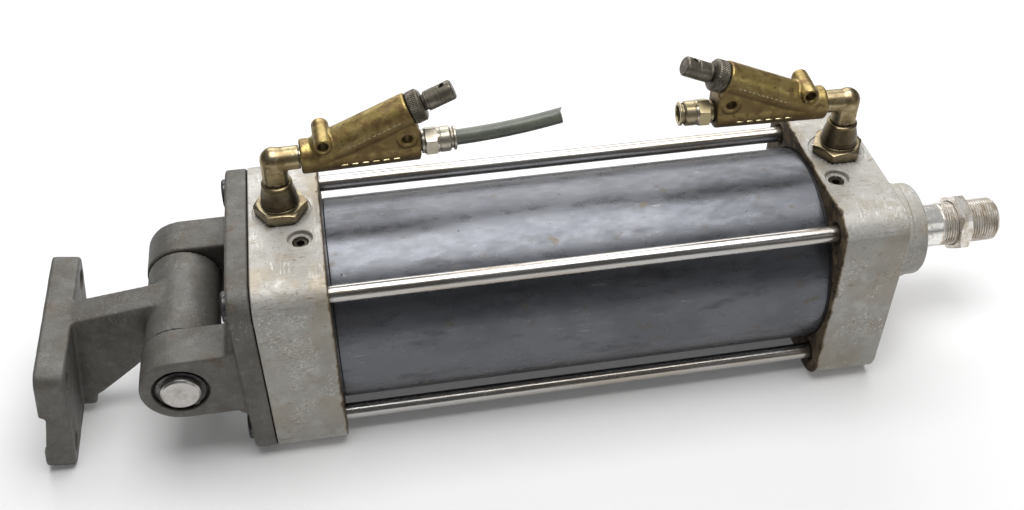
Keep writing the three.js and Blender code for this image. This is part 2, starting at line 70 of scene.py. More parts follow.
# ---- Camera ----
CAMERA_AZIMUTH = math.radians(-9.98)
CAMERA_ELEVATION = math.radians(42.25)
CAMERA_TARGET = Vector((-0.0117, 0.0075, 0.0659))
CAMERA_DISTANCE = 0.653
CAMERA_LENS = 41.46


def make_camera():
    camera = bpy.data.objects.new("camera", bpy.data.cameras.new("camera"))
    camera.data.lens = CAMERA_LENS
    camera.data.sensor_width = 36
    camera.data.clip_start = 0.01
    turn = Matrix.Rotation(CAMERA_AZIMUTH, 4, "Z") @ Matrix.Rotation(math.pi / 2 - CAMERA_ELEVATION, 4, "X")
    back_off = Matrix.Translation((0, 0, CAMERA_DISTANCE))
    camera.matrix_world = Matrix.Translation(CAMERA_TARGET) @ turn @ back_off
    scene.collection.objects.link(camera)
    scene.camera = camera


make_camera()

# ---- Frames and driving sizes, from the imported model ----
rear_low, rear_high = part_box("rear_cap")
# The rod's frame: millimetres, X along the rod from the rear cap's back face, Z up, Y = Z = 0 on its axis.
ROD_FRAME = Matrix.Translation((rear_low.x, 0, (rear_low.z + rear_high.z) / 2)) @ Matrix.Scale(MM, 4)


def corners_of(node):
    """Lowest and highest corner of a CAD node in the rod's frame."""
    return [ROD_FRAME.inverted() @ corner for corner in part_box(node)]


def middle_of(node):
    low, high = corners_of(node)
    return (low + high) / 2


CAP_HALF = corners_of("rear_cap")[1].y
CAP_CORNER = 15.5
REAR_FACE = corners_of("rear_cap")[1].x
FRONT_FACE = corners_of("front_cap")[0].x
FRONT_END = corners_of("front_cap")[1].x
BOSS_RADIUS = 27.3
BOSS_END = corners_of("rod_guide")[1].x
BARREL_FROM, BARREL_TO = (corner.x for corner in corners_of("barrel_tube"))
BARREL_RADIUS = corners_of("barrel_tube")[1].y
TIE_RADIUS = 4.4
TIE_PLACES = [(middle_of(f"tie_rod_{i}").y, middle_of(f"tie_rod_{i}").z) for i in range(1, 5)]
ROD_END = corners_of("piston_rod")[1].x
THREAD_START = 384
THREAD_RADIUS = corners_of("piston_rod")[1].y
PIN_X = middle_of("pivot_pin").x
PIN_REACH = corners_of("pivot_pin")[1].y
PORTS = {end: middle_of(f"{end}_port_bushing") for end in ("rear", "front")}
SCREWS = {end: middle_of(f"{end}_cushion_screw") for end in ("rear", "front")}
BUSHING_TOP = corners_of("rear_port_bushing")[1].z
BASE_TOP = corners_of("rear_swivel_base")[1].z
ARM_HEIGHT = middle_of("rear_tube_fitting").z
mounts = {mount["name"]: mount for mount in frame["record"]["mounts"]}
plate_normal = Vector(mounts["bracket_base"]["axis"])
BRACKET_TILT = math.atan2(plate_normal.z, -plate_normal.x)

# Along X to along the named axis.
TURN = {
    "x": Matrix.Identity(4),
    "y": Matrix.Rotation(math.pi / 2, 4, "Z"),
    "z": Matrix.Rotation(-math.pi / 2, 4, "Y"),
}


# ---- Outlines ----
def filleted(points, closed=False, steps=4):
    """A line of (a, b) points in which each (a, b, radius) corner is rounded to that radius."""
    made = []
    count = len(points)
    for i, point in enumerate(points):
        here = Vector(point[:2])
        if len(point) < 3 or (not closed and i in (0, count - 1)):
            made.append(here)
            continue
        before = Vector(points[i - 1][:2]) - here
        after = Vector(points[(i + 1) % count][:2]) - here
        half_angle = before.angle(after) / 2
        reach = min(point[2] / math.tan(half_angle), 0.49 * before.length, 0.49 * after.length)
        radius = reach * math.tan(half_angle)
        before.normalize()
        after.normalize()
        centre = here + (before + after).normalized() * radius / math.sin(half_angle)
        start = here + before * reach - centre
        sweep = start.angle_signed(here + after * reach - centre)
        for k in range(steps + 1):
            spoke = start.copy()
            spoke.rotate(Matrix.Rotation(-sweep * k / steps, 2))
            made.append(centre + spoke)
    return made


def arc(centre, radius, start, end, steps=16):
    """Points on an arc between two angles in degrees."""
    turns = [math.radians(start + (end - start) * k / steps) for k in range(steps + 1)]
    return [(centre[0] + radius * math.cos(turn), centre[1] + radius * math.sin(turn)) for turn in turns]


def rounded_square(half_wide, half_high, corner, steps=10):
    """A rectangle with round corners, counter-clockwise."""
    made = []
    for quarter, (a, b) in enumerate([(1, 1), (-1, 1), (-1, -1), (1, -1)]):
        centre = (a * (half_wide - corner), b * (half_high - corner))
        made += arc(centre, corner, 90 * quarter, 90 * quarter + 90, steps)
    return made


# ---- Solids, as bmeshes in millimetres ----
def loft(rings, closed=False):
    """A skin over rings with the same number of points; open lines of rings get end faces."""
    bm = bmesh.new()
    loops = [[bm.verts.new(point) for point in ring] for ring in rings]
    pairs = list(zip(loops, loops[1:]))
    if closed:
        pairs.append((loops[-1], loops[0]))
    for one, other in pairs:
        if len(one) == 1 or len(other) == 1:
            tip, rim = (one[0], other) if len(one) == 1 else (other[0], one)
            for k in range(len(rim)):
                bm.faces.new((tip, rim[k], rim[(k + 1) % len(rim)]))
            continue
        for k in range(len(one)):
            after = (k + 1) % len(one)
            bm.faces.new((one[k], one[after], other[after], other[k]))
    if not closed:
        for end in (loops[0], loops[-1]):
            if len(end) > 2:
                bm.faces.new(end)
    bmesh.ops.recalc_face_normals(bm, faces=bm.faces)
    return bm


def lathe(profile, sides=72, relief=None, steps=4):
    """A solid turned round X from (along, radius, fillet) points; it ends on the axis or closes on itself.

    relief(along, radius, angle) may give another radius at each point, for threads and knurls.
    """
    closed = profile[0][:2] == profile[-1][:2]
    line = filleted(profile[:-1] if closed else profile, closed, steps)
    rings = []
    for along, radius in line:
        if radius < 1e-6:
            rings.append([(along, 0, 0)])
            continue
        ring = []
        for k in range(sides):
            angle = TAU * k / sides
            reach = relief(along, radius, angle) if relief else radius
            ring.append((along, reach * math.cos(angle), reach * math.sin(angle)))
        rings.append(ring)
    return loft(rings, closed)


def bar(start, end, radius, edge=0.0, sides=72):
    """A round bar along X; edge rounds its two rims."""
    rim = (radius, edge) if edge else (radius,)
    return lathe([(start, 0), (start, *rim), (end, *rim), (end, 0)], sides)


def sleeve(start, end, inner, outer, sides=72):
    """A plain round tube along X."""
    return lathe([(start, inner), (start, outer), (end, outer), (end, inner), (start, inner)], sides)


def stations(start, end, edge, steps=3):
    """(place, inset) pairs that round the two rims of an extrusion."""
    quarter = [k / steps * math.pi / 2 for k in range(steps + 1)]
    rim = [(edge * (1 - math.sin(turn)), edge * (1 - math.cos(turn))) for turn in quarter]
    first = [(start + depth, inset) for depth, inset in reversed(rim)]
    return first + [(end - depth, inset) for depth, inset in rim]


def square_bar(start, end, half, corner, edge):
    """A bar along X with a rounded square section and softly broken ends."""
    rings = []
    for place, inset in stations(start, end, edge):
        section = rounded_square(half - inset, half - inset, corner - inset)
        rings.append([(place, y, z) for y, z in section])
    return loft(rings)


def prism(outline, half_thick, edge=0.0):
    """A side view drawn as (x, z) points, made thick along Y, with its rims bevelled."""
    bm = loft([[(x, y, z) for x, z in outline] for y in (-half_thick, half_thick)])
    if edge:
        rims = [e for e in bm.edges if abs(e.verts[0].co.y - e.verts[1].co.y) < 1e-6]
        bmesh.ops.bevel(bm, geom=rims, offset=edge, segments=2, affect="EDGES", profile=0.6)
    return bm


def moved(bm, *steps):
    """bm after each of the matrices in turn."""
    for step in steps:
        bm.transform(step)
    return bm


def shift(x=0.0, y=0.0, z=0.0):
    return Matrix.Translation((x, y, z))


def scratch(bm):
    """A temporary object that holds bm."""
    mesh = bpy.data.meshes.new("scratch")
    bm.to_mesh(mesh)
    bm.free()
    holder = bpy.data.objects.new("scratch", mesh)
    scene.collection.objects.link(holder)
    return holder


def settled(holder, *others):
    """holder's mesh after its modifiers, as a bmesh; the temporary objects are removed."""
    depsgraph = bpy.context.evaluated_depsgraph_get()
    mesh = bpy.data.meshes.new_from_object(holder.evaluated_get(depsgraph))
    bm = bmesh.new()
    bm.from_mesh(mesh)
    bpy.data.meshes.remove(mesh)
    for temporary in (holder, *others):
        data = temporary.data
        bpy.data.objects.remove(temporary)
        bpy.data.meshes.remove(data)
    return bm


def boolean(base, tools, operation):
    holder = scratch(base)
    cutters = [scratch(tool) for tool in tools]
    for cutter in cutters:
        modifier = holder.modifiers.new("boolean", "BOOLEAN")
        modifier.operation = operation
        modifier.solver = "EXACT"
        modifier.object = cutter
    return settled(holder, *cutters)


def cut(base, *tools):
    return boolean(base, tools, "DIFFERENCE")


def join(base, *tools):
    return boolean(base, tools, "UNION")


def gathered(*parts):
    """Several bmeshes as one, without joining their skins."""
    whole = bmesh.new()
    for part in parts:
        mesh = bpy.data.meshes.new("part")
        part.to_mesh(mesh)
        part.free()
        whole.from_mesh(mesh)
        bpy.data.meshes.remove(mesh)
    return whole


def cast(voxel, softening, *parts):
    """The parts melted into one skin with soft corners and fillets, as a casting or forging has."""
    holder = scratch(gathered(*parts))
    remesh = holder.modifiers.new("skin", "REMESH")
    remesh.mode = "VOXEL"
    remesh.voxel_size = voxel
    smooth = holder.modifiers.new("soften", "SMOOTH")
    smooth.factor = 0.5
    smooth.iterations = softening
    return settled(holder)


def dented(bm, height, size, seed=0.0):
    """bm with its skin moved in and out a little by smooth noise, features about size across."""
    bm.normal_update()
    for vert in bm.verts:
        swell = noise.noise(vert.co / size + Vector((seed, 0, 0)))
        vert.co += vert.normal * height * swell
    return bm


def drill(axis, start, end, radius, lip=0.4, sides=48, mouth=None):
    """A cutter for a hole along an axis; at mouth, where it leaves the skin, it flares by lip."""
    if mouth is None:
        return moved(bar(start, end, radius, 0, sides), TURN[axis])
    side = 1 if end > start else -1
    profile = [
        (start, 0), (start, radius), (mouth - side * lip, radius), (mouth, radius + lip),
        (end, radius + lip), (end, 0),
    ]
    return moved(lathe(profile, sides), TURN[axis])


def hexagon(start, end, across_flats, chamfer, spin=0.0):
    """A hexagonal bar along X, its corners turned off at both ends, which curves the edges of its flats."""
    corner = across_flats / math.sqrt(3)
    turns = [TAU * k / 6 + spin for k in range(6)]
    ring = [(corner * math.cos(turn), corner * math.sin(turn)) for turn in turns]
    hexed = loft([[(place, y, z) for y, z in ring] for place in (start, end)])
    uprights = [e for e in hexed.edges if abs(e.verts[0].co.x - e.verts[1].co.x) > 1e-6]
    bmesh.ops.bevel(hexed, geom=uprights, offset=0.3, segments=3, affect="EDGES", profile=0.5)
    face = corner - chamfer * 1.75
    outline = [
        (start - 0.01, 0), (start - 0.01, face), (start + chamfer, corner + 0.01),
        (end - chamfer, corner + 0.01), (end + 0.01, face), (end + 0.01, 0),
    ]
    return boolean(hexed, [lathe(outline, 96)], "INTERSECT")


# ---- Materials ----
class Surface:
    """A procedural metal, rubber or plastic, laid on in steps that change its colour, roughness or relief.

    Sizes are in millimetres, and every pattern lies in the object's own coordinates.
    """

    def __init__(self, name, colour, metallic, roughness):
        self.material = bpy.data.materials.new(name)
        self.material.use_nodes = True
        self.nodes = self.material.node_tree.nodes
        self.links = self.material.node_tree.links
        self.shader = self.nodes["Principled BSDF"]
        self.shader.inputs["Metallic"].default_value = metallic
        self.place = self.node("ShaderNodeTexCoord").outputs["Object"]
        self.colour = (*colour, 1)
        self.roughness = roughness
        self.heights = []

    def node(self, kind, **settings):
        made = self.nodes.new(kind)
        for key, value in settings.items():
            setattr(made, key, value)
        return made

    def feed(self, socket, value):
        if isinstance(value, bpy.types.NodeSocket):
            self.links.new(value, socket)
        else:
            socket.default_value = value

    def noise(self, size, detail=4.0, rough=0.55, stretch=(1, 1, 1), seed=0.0):
        """Cloudy noise from 0 to 1, with features about size across, longer where stretch is above 1."""
        mapping = self.node("ShaderNodeMapping")
        self.feed(mapping.inputs["Vector"], self.place)
        mapping.inputs["Scale"].default_value = [1 / s for s in stretch]
        mapping.inputs["Location"].default_value = (seed, seed * 0.7, seed * 1.3)
        made = self.node("ShaderNodeTexNoise")
        self.feed(made.inputs["Vector"], mapping.outputs["Vector"])
        made.inputs["Scale"].default_value = 1 / (size * MM)
        made.inputs["Detail"].default_value = detail
        made.inputs["Roughness"].default_value = rough
        return made.outputs["Fac"]

    def math(self, operation, one, other=0.0):
        made = self.node("ShaderNodeMath", operation=operation)
        self.feed(made.inputs[0], one)
        self.feed(made.inputs[1], other)
        return made.outputs[0]

    def ramp(self, value, low, high, start=0.0, end=1.0):
        """value spread smoothly from [low, high] to [start, end]."""
        made = self.node("ShaderNodeMapRange", interpolation_type="SMOOTHSTEP")
        self.feed(made.inputs["Value"], value)
        for name, number in (("From Min", low), ("From Max", high), ("To Min", start), ("To Max", end)):
            made.inputs[name].default_value = number
        return made.outputs["Result"]

    def mixed(self, factor, one, other, kind="RGBA"):
        """one where factor is 0 and other where it is 1, for colours or numbers."""
        first, result = (6, 2) if kind == "RGBA" else (2, 0)
        made = self.node("ShaderNodeMix", data_type=kind)
        self.feed(made.inputs[0], factor)
        self.feed(made.inputs[first], one)
        self.feed(made.inputs[first + 1], other)
        return made.outputs[result]

    def along(self, axis):
        """The x, y or z coordinate, in metres in the object's frame."""
        made = self.node("ShaderNodeSeparateXYZ")
        self.feed(made.inputs[0], self.place)
        return made.outputs[axis]

    def facing(self, axis):
        """How far the surface looks along x, y or z, from -1 to 1."""
        made = self.node("ShaderNodeSeparateXYZ")
        self.feed(made.inputs[0], self.node("ShaderNodeNewGeometry").outputs["True Normal"])
        return made.outputs[axis]

    def lay(self, mask, colour, roughness=None):
        """Another colour where mask is 1, with its own roughness if it has one."""
        self.colour = self.mixed(mask, self.colour, (*colour, 1))
        if roughness is not None:
            self.roughness = self.mixed(mask, self.roughness, roughness, "FLOAT")
        return self

    def clouds(self, colour, size, low=0.35, high=0.65, roughness=None, seed=0.0, stretch=(1, 1, 1)):
        """Soft patches of another colour."""
        patches = self.ramp(self.noise(size, 5.0, 0.6, stretch, seed), low, high)
        return self.lay(patches, colour, roughness)

    def scratches(self, colour, size, stretch, width=0.012, share=0.55, seed=3.0):
        """Thin lines along the stretched direction, in places."""
        lines = self.math("ABSOLUTE", self.math("SUBTRACT", self.noise(size, 2, 0.5, stretch, seed), 0.5))
        thin = self.ramp(lines, width, 0.0)
        places = self.ramp(self.noise(size * 9, 2, 0.5, (1, 1, 1), seed + 5), share, share + 0.08)
        return self.lay(self.math("MULTIPLY", thin, places), colour)

    def grime_and_shade(self, colour, reach, amount=1.0, roughness=0.75, size=3.0, seed=7.0):
        """Grime and painted occlusion shade: a darker colour in corners and seams, up to reach from them."""
        closeness = self.node("ShaderNodeAmbientOcclusion", samples=6, only_local=False)
        closeness.inputs["Distance"].default_value = reach * MM
        corner = self.ramp(closeness.outputs["AO"], 0.86, 0.35)
        broken = self.ramp(self.noise(size, 4, 0.6, seed=seed), 0.25, 0.6, 0.35, amount)
        return self.lay(self.math("MULTIPLY", corner, broken), colour, roughness)

    def wear(self, colour, low=0.53, high=0.6, roughness=None, size=2.0, seed=11.0):
        """Bright metal where edges stand out."""
        edge = self.ramp(self.node("ShaderNodeNewGeometry").outputs["Pointiness"], low, high)
        broken = self.ramp(self.noise(size, 3, 0.6, seed=seed), 0.3, 0.55)
        return self.lay(self.math("MULTIPLY", edge, broken), colour, roughness)

    def gloss(self, spread, size, stretch=(1, 1, 1), seed=17.0):
        """Roughness that varies by spread, in patches."""
        patches = self.ramp(self.noise(size, 5, 0.6, stretch, seed), 0.3, 0.7, -spread, spread)
        self.roughness = self.math("ADD", self.roughness, patches)
        return self

    def relief(self, depth, size, stretch=(1, 1, 1), detail=4.0, seed=0.0):
        """Bumps of that depth and size."""
        self.heights.append(self.math("MULTIPLY", self.noise(size, detail, 0.6, stretch, seed), depth * MM))
        return self

    def done(self):
        self.feed(self.shader.inputs["Base Color"], self.colour)
        self.feed(self.shader.inputs["Roughness"], self.roughness)
        if self.heights:
            total = self.heights[0]
            for height in self.heights[1:]:
                total = self.math("ADD", total, height)
            bump = self.node("ShaderNodeBump")
            bump.inputs["Distance"].default_value = 1.0
            self.feed(bump.inputs["Height"], total)
            self.links.new(bump.outputs["Normal"], self.shader.inputs["Normal"])
        return self.material


looks = {}


def look(colour, metallic, roughness):
    """Lays the steps of the function that follows on a new surface, and keeps its material by that name."""

    def keep(steps):
        surface = Surface(steps.__name__, colour, metallic, roughness)
        steps(surface)
        looks[steps.__name__] = surface.done()
        return steps

    return keep


def frame_x(along):
    """A place along the rod, in metres in the object's frame."""
    return (ROD_FRAME @ Vector((along, 0, 0))).x


CAP_TOP = rear_high.z


@look((0.47, 0.455, 0.425), 0.45, 0.5)
def cap_alloy(s):
    """Sand-cast and machined aluminium, stained, scratched and grimy where it meets the barrel."""
    s.clouds((0.40, 0.38, 0.34), 26, 0.4, 0.62, 0.58)
    s.clouds((0.53, 0.52, 0.495), 9, 0.52, 0.7, 0.42, seed=2)
    s.clouds((0.36, 0.31, 0.235), 19, 0.52, 0.7, seed=4)
    s.clouds((0.42, 0.37, 0.29), 34, 0.5, 0.66, seed=15)
    s.clouds((0.27, 0.22, 0.155), 6, 0.63, 0.74, seed=6)
    s.clouds((0.34, 0.325, 0.29), 1.6, 0.55, 0.66, seed=8)
    # Painted shade: the sides that face along Y are painted darker than the top, for the less light that falls on
    # them.
    s.lay(s.ramp(s.math("ABSOLUTE", s.facing("Y")), 0.8, 0.97, 0.0, 0.5), (0.25, 0.24, 0.215))
    s.scratches((0.66, 0.65, 0.62), 2.2, (1, 14, 1), 0.02, 0.5)
    s.scratches((0.26, 0.22, 0.17), 3.1, (9, 1, 2), 0.014, 0.54, 8)
    # Grime along the two edges that face the barrel and on those faces, broken up.
    for inner in (REAR_FACE, FRONT_FACE):
        depth = s.math("ABSOLUTE", s.math("SUBTRACT", s.along("X"), frame_x(inner)))
        ragged = s.math("SUBTRACT", depth, s.ramp(s.noise(5, 5, 0.65, (1, 2, 2), 9), 0.42, 0.8, 0, 0.0022))
        s.lay(s.ramp(ragged, 0.0010, 0.0), (0.20, 0.15, 0.09), 0.7)
        face = s.ramp(ragged, 0.0003, -0.0006)
        s.lay(face, (0.10, 0.072, 0.045), 0.8)
        blotches = s.ramp(s.noise(2.2, 5, 0.65, seed=21), 0.46, 0.6)
        s.lay(s.math("MULTIPLY", face, blotches), (0.035, 0.03, 0.026), 0.7)
    # Grime and painted occlusion shade in corners and seams.
    s.grime_and_shade((0.10, 0.07, 0.045), 3, 0.85)
    s.wear((0.66, 0.65, 0.62), 0.57, 0.66, 0.34)
    s.gloss(0.08, 7)
    s.relief(0.09, 1.1, detail=3)
    s.relief(0.12, 5, seed=3)


@look((0.105, 0.109, 0.122), 0.75, 0.32)
def barrel_alloy(s):
    """Hard-coated aluminium tube: blue-grey, half-glossy, faintly wavy, with small stains."""
    s.clouds((0.13, 0.134, 0.148), 34, 0.4, 0.6, stretch=(1.6, 1, 1))
    s.clouds((0.082, 0.084, 0.092), 13, 0.55, 0.7, seed=2, stretch=(2.5, 1, 1))
    s.clouds((0.115, 0.10, 0.08), 10, 0.6, 0.74, 0.42, seed=5)
    # Lighter, glossier flecks: scuffs, and a painted highlight for the speckled sheen.
    s.clouds((0.165, 0.169, 0.18), 1.8, 0.65, 0.74, 0.24, seed=9, stretch=(3, 1, 1))
    s.scratches((0.21, 0.215, 0.23), 2.6, (16, 1, 1), 0.012, 0.6)
    s.lay(s.ramp(s.noise(2.4, 2, 0.5, seed=14), 0.75, 0.77), (0.06, 0.04, 0.025), 0.6)
    # Grime and painted occlusion shade in corners and seams.
    s.grime_and_shade((0.04, 0.032, 0.024), 5, 0.8, 0.6)
    s.gloss(0.07, 4.5, (2.2, 1, 1))
    s.relief(0.025, 1.6, (1.5, 1, 1), 3)
    s.relief(0.2, 30, (1.8, 1, 1), 1, seed=6)


@look((0.50, 0.488, 0.47), 1.0, 0.25)
def polished_steel(s):
    """Bright drawn steel with brown streaks along its length."""
    s.clouds((0.45, 0.41, 0.36), 5, 0.42, 0.64, 0.24, stretch=(14, 1, 1))
    s.clouds((0.2, 0.145, 0.09), 3, 0.62, 0.72, 0.4, seed=3, stretch=(16, 1, 1))
    # Grime and painted occlusion shade in corners and seams.
    s.grime_and_shade((0.10, 0.07, 0.04), 3, 1.0, 0.5)
    s.gloss(0.05, 3, (12, 1, 1))
    s.relief(0.012, 0.6, (8, 1, 1), 2)


@look((0.86, 0.82, 0.765), 0.75, 0.28)
def rod_steel(s):
    """Bright plated steel of the rod's end and its lock nut, with brown in the thread."""
    s.clouds((0.55, 0.47, 0.37), 5, 0.45, 0.64, 0.28, stretch=(1, 2, 2))
    s.clouds((0.40, 0.31, 0.21), 2.2, 0.62, 0.74, 0.42, seed=4)
    # Grime and painted occlusion shade in the thread and corners.
    s.grime_and_shade((0.21, 0.17, 0.125), 1.2, 0.8)
    s.wear((0.92, 0.91, 0.88), 0.54, 0.61, 0.18)
    s.relief(0.02, 0.5)


@look((0.125, 0.121, 0.109), 0.3, 0.54)
def cast_iron(s):
    """Grey iron castings: dark, grainy, mottled with brown, lighter where edges are rubbed."""
    s.clouds((0.098, 0.089, 0.075), 18, 0.35, 0.7, 0.62)
    s.clouds((0.155, 0.152, 0.14), 8, 0.45, 0.8, 0.48, seed=2)
    s.clouds((0.105, 0.08, 0.057), 13, 0.55, 0.78, seed=4)
    s.clouds((0.21, 0.206, 0.192), 0.9, 0.6, 0.72, 0.42, seed=5)
    s.clouds((0.06, 0.053, 0.045), 1.1, 0.6, 0.7, 0.6, seed=6)
    s.scratches((0.27, 0.26, 0.245), 2.8, (1, 1, 9), 0.012, 0.58)
    # Near-black grime and painted occlusion shade in corners, seams and the eye.
    s.grime_and_shade((0.036, 0.027, 0.02), 9)
    s.wear((0.27, 0.265, 0.25), 0.545, 0.63, 0.4)
    s.relief(0.24, 1.2, detail=4)
    s.relief(0.26, 4.5, seed=3)


@look((0.48, 0.46, 0.44), 1.0, 0.32)
def plain_steel(s):
    """Machined steel, lightly tarnished."""
    s.clouds((0.38, 0.355, 0.32), 5, 0.42, 0.66, 0.38)
    s.clouds((0.25, 0.19, 0.13), 3, 0.64, 0.74, 0.5, seed=4)
    s.scratches((0.6, 0.59, 0.57), 1.2, (1, 6, 1), 0.03, 0.5)
    # Grime and painted occlusion shade in corners and seams.
    s.grime_and_shade((0.10, 0.075, 0.05), 1.4)
    s.wear((0.66, 0.65, 0.62), 0.55, 0.62, 0.24)
    s.gloss(0.06, 2.5)
    s.relief(0.02, 0.5)


@look((0.045, 0.044, 0.046), 0.6, 0.5)
def dark_steel(s):
    """Blackened steel of the screws, nuts and circlips."""
    s.clouds((0.075, 0.07, 0.068), 3, 0.45, 0.65)
    s.clouds((0.08, 0.05, 0.03), 4, 0.6, 0.72, 0.7, seed=3)
    s.wear((0.16, 0.155, 0.15), 0.55, 0.62, 0.4)
    s.relief(0.04, 0.6)


@look((0.30, 0.25, 0.155), 0.95, 0.26)
def yellow_steel(s):
    """Yellow-passivated steel: yellow to olive, with rubbed edges and a painted shade of dark grey-green at its
    foot on the cap.
    """
    s.clouds((0.20, 0.155, 0.095), 7, 0.42, 0.62, 0.32)
    s.clouds((0.42, 0.38, 0.28), 6, 0.56, 0.72, 0.22, seed=5)
    # Painted shade: the lowest 3.5 mm, where the bushing stands on the cap, darkened to a dark grey-green.
    low = s.ramp(s.along("Z"), CAP_TOP + 0.0035, CAP_TOP, 0.0, 0.8)
    s.lay(low, (0.045, 0.05, 0.045), 0.4)
    # Grime and painted occlusion shade in corners and seams.
    s.grime_and_shade((0.05, 0.036, 0.02), 2.5, 0.8)
    s.wear((0.8, 0.75, 0.6), 0.56, 0.62, 0.2, 3)
    s.relief(0.015, 0.7)


@look((0.40, 0.325, 0.19), 0.95, 0.3)
def elbow_brass(s):
    """Worn nickel-plated brass: yellowish grey with olive, painted dark brown low down as shade."""
    s.clouds((0.24, 0.18, 0.09), 6, 0.4, 0.62, 0.38)
    s.clouds((0.52, 0.45, 0.32), 5, 0.54, 0.72, 0.24, seed=3)
    s.clouds((0.13, 0.10, 0.055), 3.5, 0.58, 0.72, 0.46, seed=6)
    # Painted shade: darker brown towards the bottom, by height above the cap.
    low = s.ramp(s.along("Z"), CAP_TOP + 0.026, CAP_TOP + 0.014, 0.0, 0.85)
    s.lay(low, (0.075, 0.057, 0.036))
    # Grime and painted occlusion shade in corners and seams.
    s.grime_and_shade((0.05, 0.035, 0.018), 2.5)
    s.wear((0.85, 0.78, 0.58), 0.54, 0.61, 0.2, 1.6)
    s.relief(0.03, 0.8)


@look((0.34, 0.255, 0.085), 0.8, 0.38)
def valve_brass(s):
    """Olive-yellow pressed brass, painted browner on its downward faces as shade, pale where its creases are
    rubbed.
    """
    s.clouds((0.50, 0.39, 0.16), 8, 0.4, 0.66, 0.3)
    s.clouds((0.20, 0.125, 0.05), 6, 0.46, 0.64, 0.46, seed=3)
    s.clouds((0.36, 0.25, 0.13), 4, 0.56, 0.7, 0.34, seed=5, stretch=(3, 1, 1))
    s.clouds((0.07, 0.05, 0.025), 1.6, 0.6, 0.7, 0.55, seed=8)
    # Painted shade: faces that look downward are darkened to brown.
    shade_below = s.ramp(s.facing("Z"), 0.6, -0.1, 0.0, 0.85)
    s.lay(shade_below, (0.135, 0.088, 0.036), 0.5)
    s.clouds((0.23, 0.18, 0.06), 5, 0.55, 0.7, 0.42, seed=12)
    # Grime and painted occlusion shade in corners and seams.
    s.grime_and_shade((0.04, 0.028, 0.013), 3.6)
    s.wear((0.72, 0.62, 0.36), 0.545, 0.62, 0.28, 1.5)
    s.relief(0.07, 0.9)
    s.relief(0.10, 3.5, seed=4)


@look((0.66, 0.58, 0.34), 1.0, 0.26)
def worn_brass(s):
    """The rubbed tops of the valve's raised dashes."""
    s.clouds((0.4, 0.32, 0.15), 1.2, 0.5, 0.66, 0.35)
    s.relief(0.02, 0.4)


@look((0.50, 0.465, 0.39), 0.9, 0.34)
def nickel(s):
    """Nickel-plated fittings, warm and slightly dulled."""
    # The front valve's fitting is brassier than the rear one's.
    s.lay(s.ramp(s.along("X"), -0.001, 0.001), (0.41, 0.34, 0.20))
    s.clouds((0.40, 0.35, 0.26), 4, 0.46, 0.70, 0.38)
    s.clouds((0.33, 0.28, 0.20), 3, 0.62, 0.76, 0.42, seed=3)
    # Grime and painted occlusion shade in corners and seams.
    s.grime_and_shade((0.09, 0.07, 0.045), 1.6)
    s.wear((0.72, 0.69, 0.61), 0.56, 0.64, 0.2, 2)
    s.relief(0.012, 0.5)


@look((0.135, 0.121, 0.092), 0.8, 0.44)
def knob_steel(s):
    """Brown-grey plated steel of the needles and lock rings."""
    s.clouds((0.23, 0.205, 0.17), 4, 0.45, 0.68, 0.34)
    s.clouds((0.10, 0.08, 0.06), 2.5, 0.55, 0.7, 0.5, seed=3)
    # Grime and painted occlusion shade in corners and seams.
    s.grime_and_shade((0.02, 0.016, 0.012), 1.6, 1.1)
    s.wear((0.42, 0.385, 0.33), 0.56, 0.63, 0.28, 1.2)
    s.relief(0.03, 0.5)


@look((0.36, 0.23, 0.1), 1.0, 0.4)
def bronze(s):
    s.clouds((0.24, 0.15, 0.07), 3)
    s.relief(0.04, 0.6)


@look((0.018, 0.018, 0.019), 0.0, 0.6)
def rubber(s):
    s.clouds((0.035, 0.033, 0.031), 3)
    s.relief(0.04, 0.7)


@look((0.2, 0.2, 0.19), 0.0, 0.5)
def grey_plastic(s):
    s.clouds((0.15, 0.15, 0.14), 4)
    s.relief(0.03, 0.8)


@look((0.13, 0.14, 0.105), 0.0, 0.34)
def tube_plastic(s):
    """Grey-green nylon tube, scuffed."""
    s.clouds((0.085, 0.095, 0.075), 7, stretch=(2, 1, 1))
    s.clouds((0.19, 0.2, 0.165), 3, 0.6, 0.7, 0.5, seed=3, stretch=(3, 1, 1))
    s.gloss(0.08, 4)
    s.relief(0.05, 1.0, (3, 1, 1))


bodies = frame["record"]["behaviour"]["bodies"]
node_bodies = {node: body for body, nodes in bodies.items() for node in nodes}


def show(name, bm, place, slot, stands_for, finish=None, crease=32, body=None):
    """bm, in millimetres in its own frame, as a finished piece in place of the CAD nodes it stands for."""
    mesh = bpy.data.meshes.new(name)
    bm.to_mesh(mesh)
    bm.free()
    mesh.transform(place)
    mesh.materials.append(looks[finish or slot])
    mesh.shade_smooth()
    mesh.set_sharp_from_angle(angle=math.radians(crease))
    obj = bpy.data.objects.new(name, mesh)
    scene.collection.objects.link(obj)
    flat = obj.modifiers.new("flat faces stay flat", "WEIGHTED_NORMAL")
    flat.keep_sharp = True
    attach(obj, body or node_bodies[stands_for[0]])
    if stands_for:
        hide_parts(*stands_for)
    return obj


# ---- Caps and barrel ----
SPOT_FACE = 15.5
SPOT_DEPTH = 0.45
PORT_HOLE = 10.9
TIE_HOLE = 6.1
TIE_NUT_HOLE = 8.1
BARREL_BORE = 50
BARREL_SEAT = 54.4
GUIDE_HOLE = 17


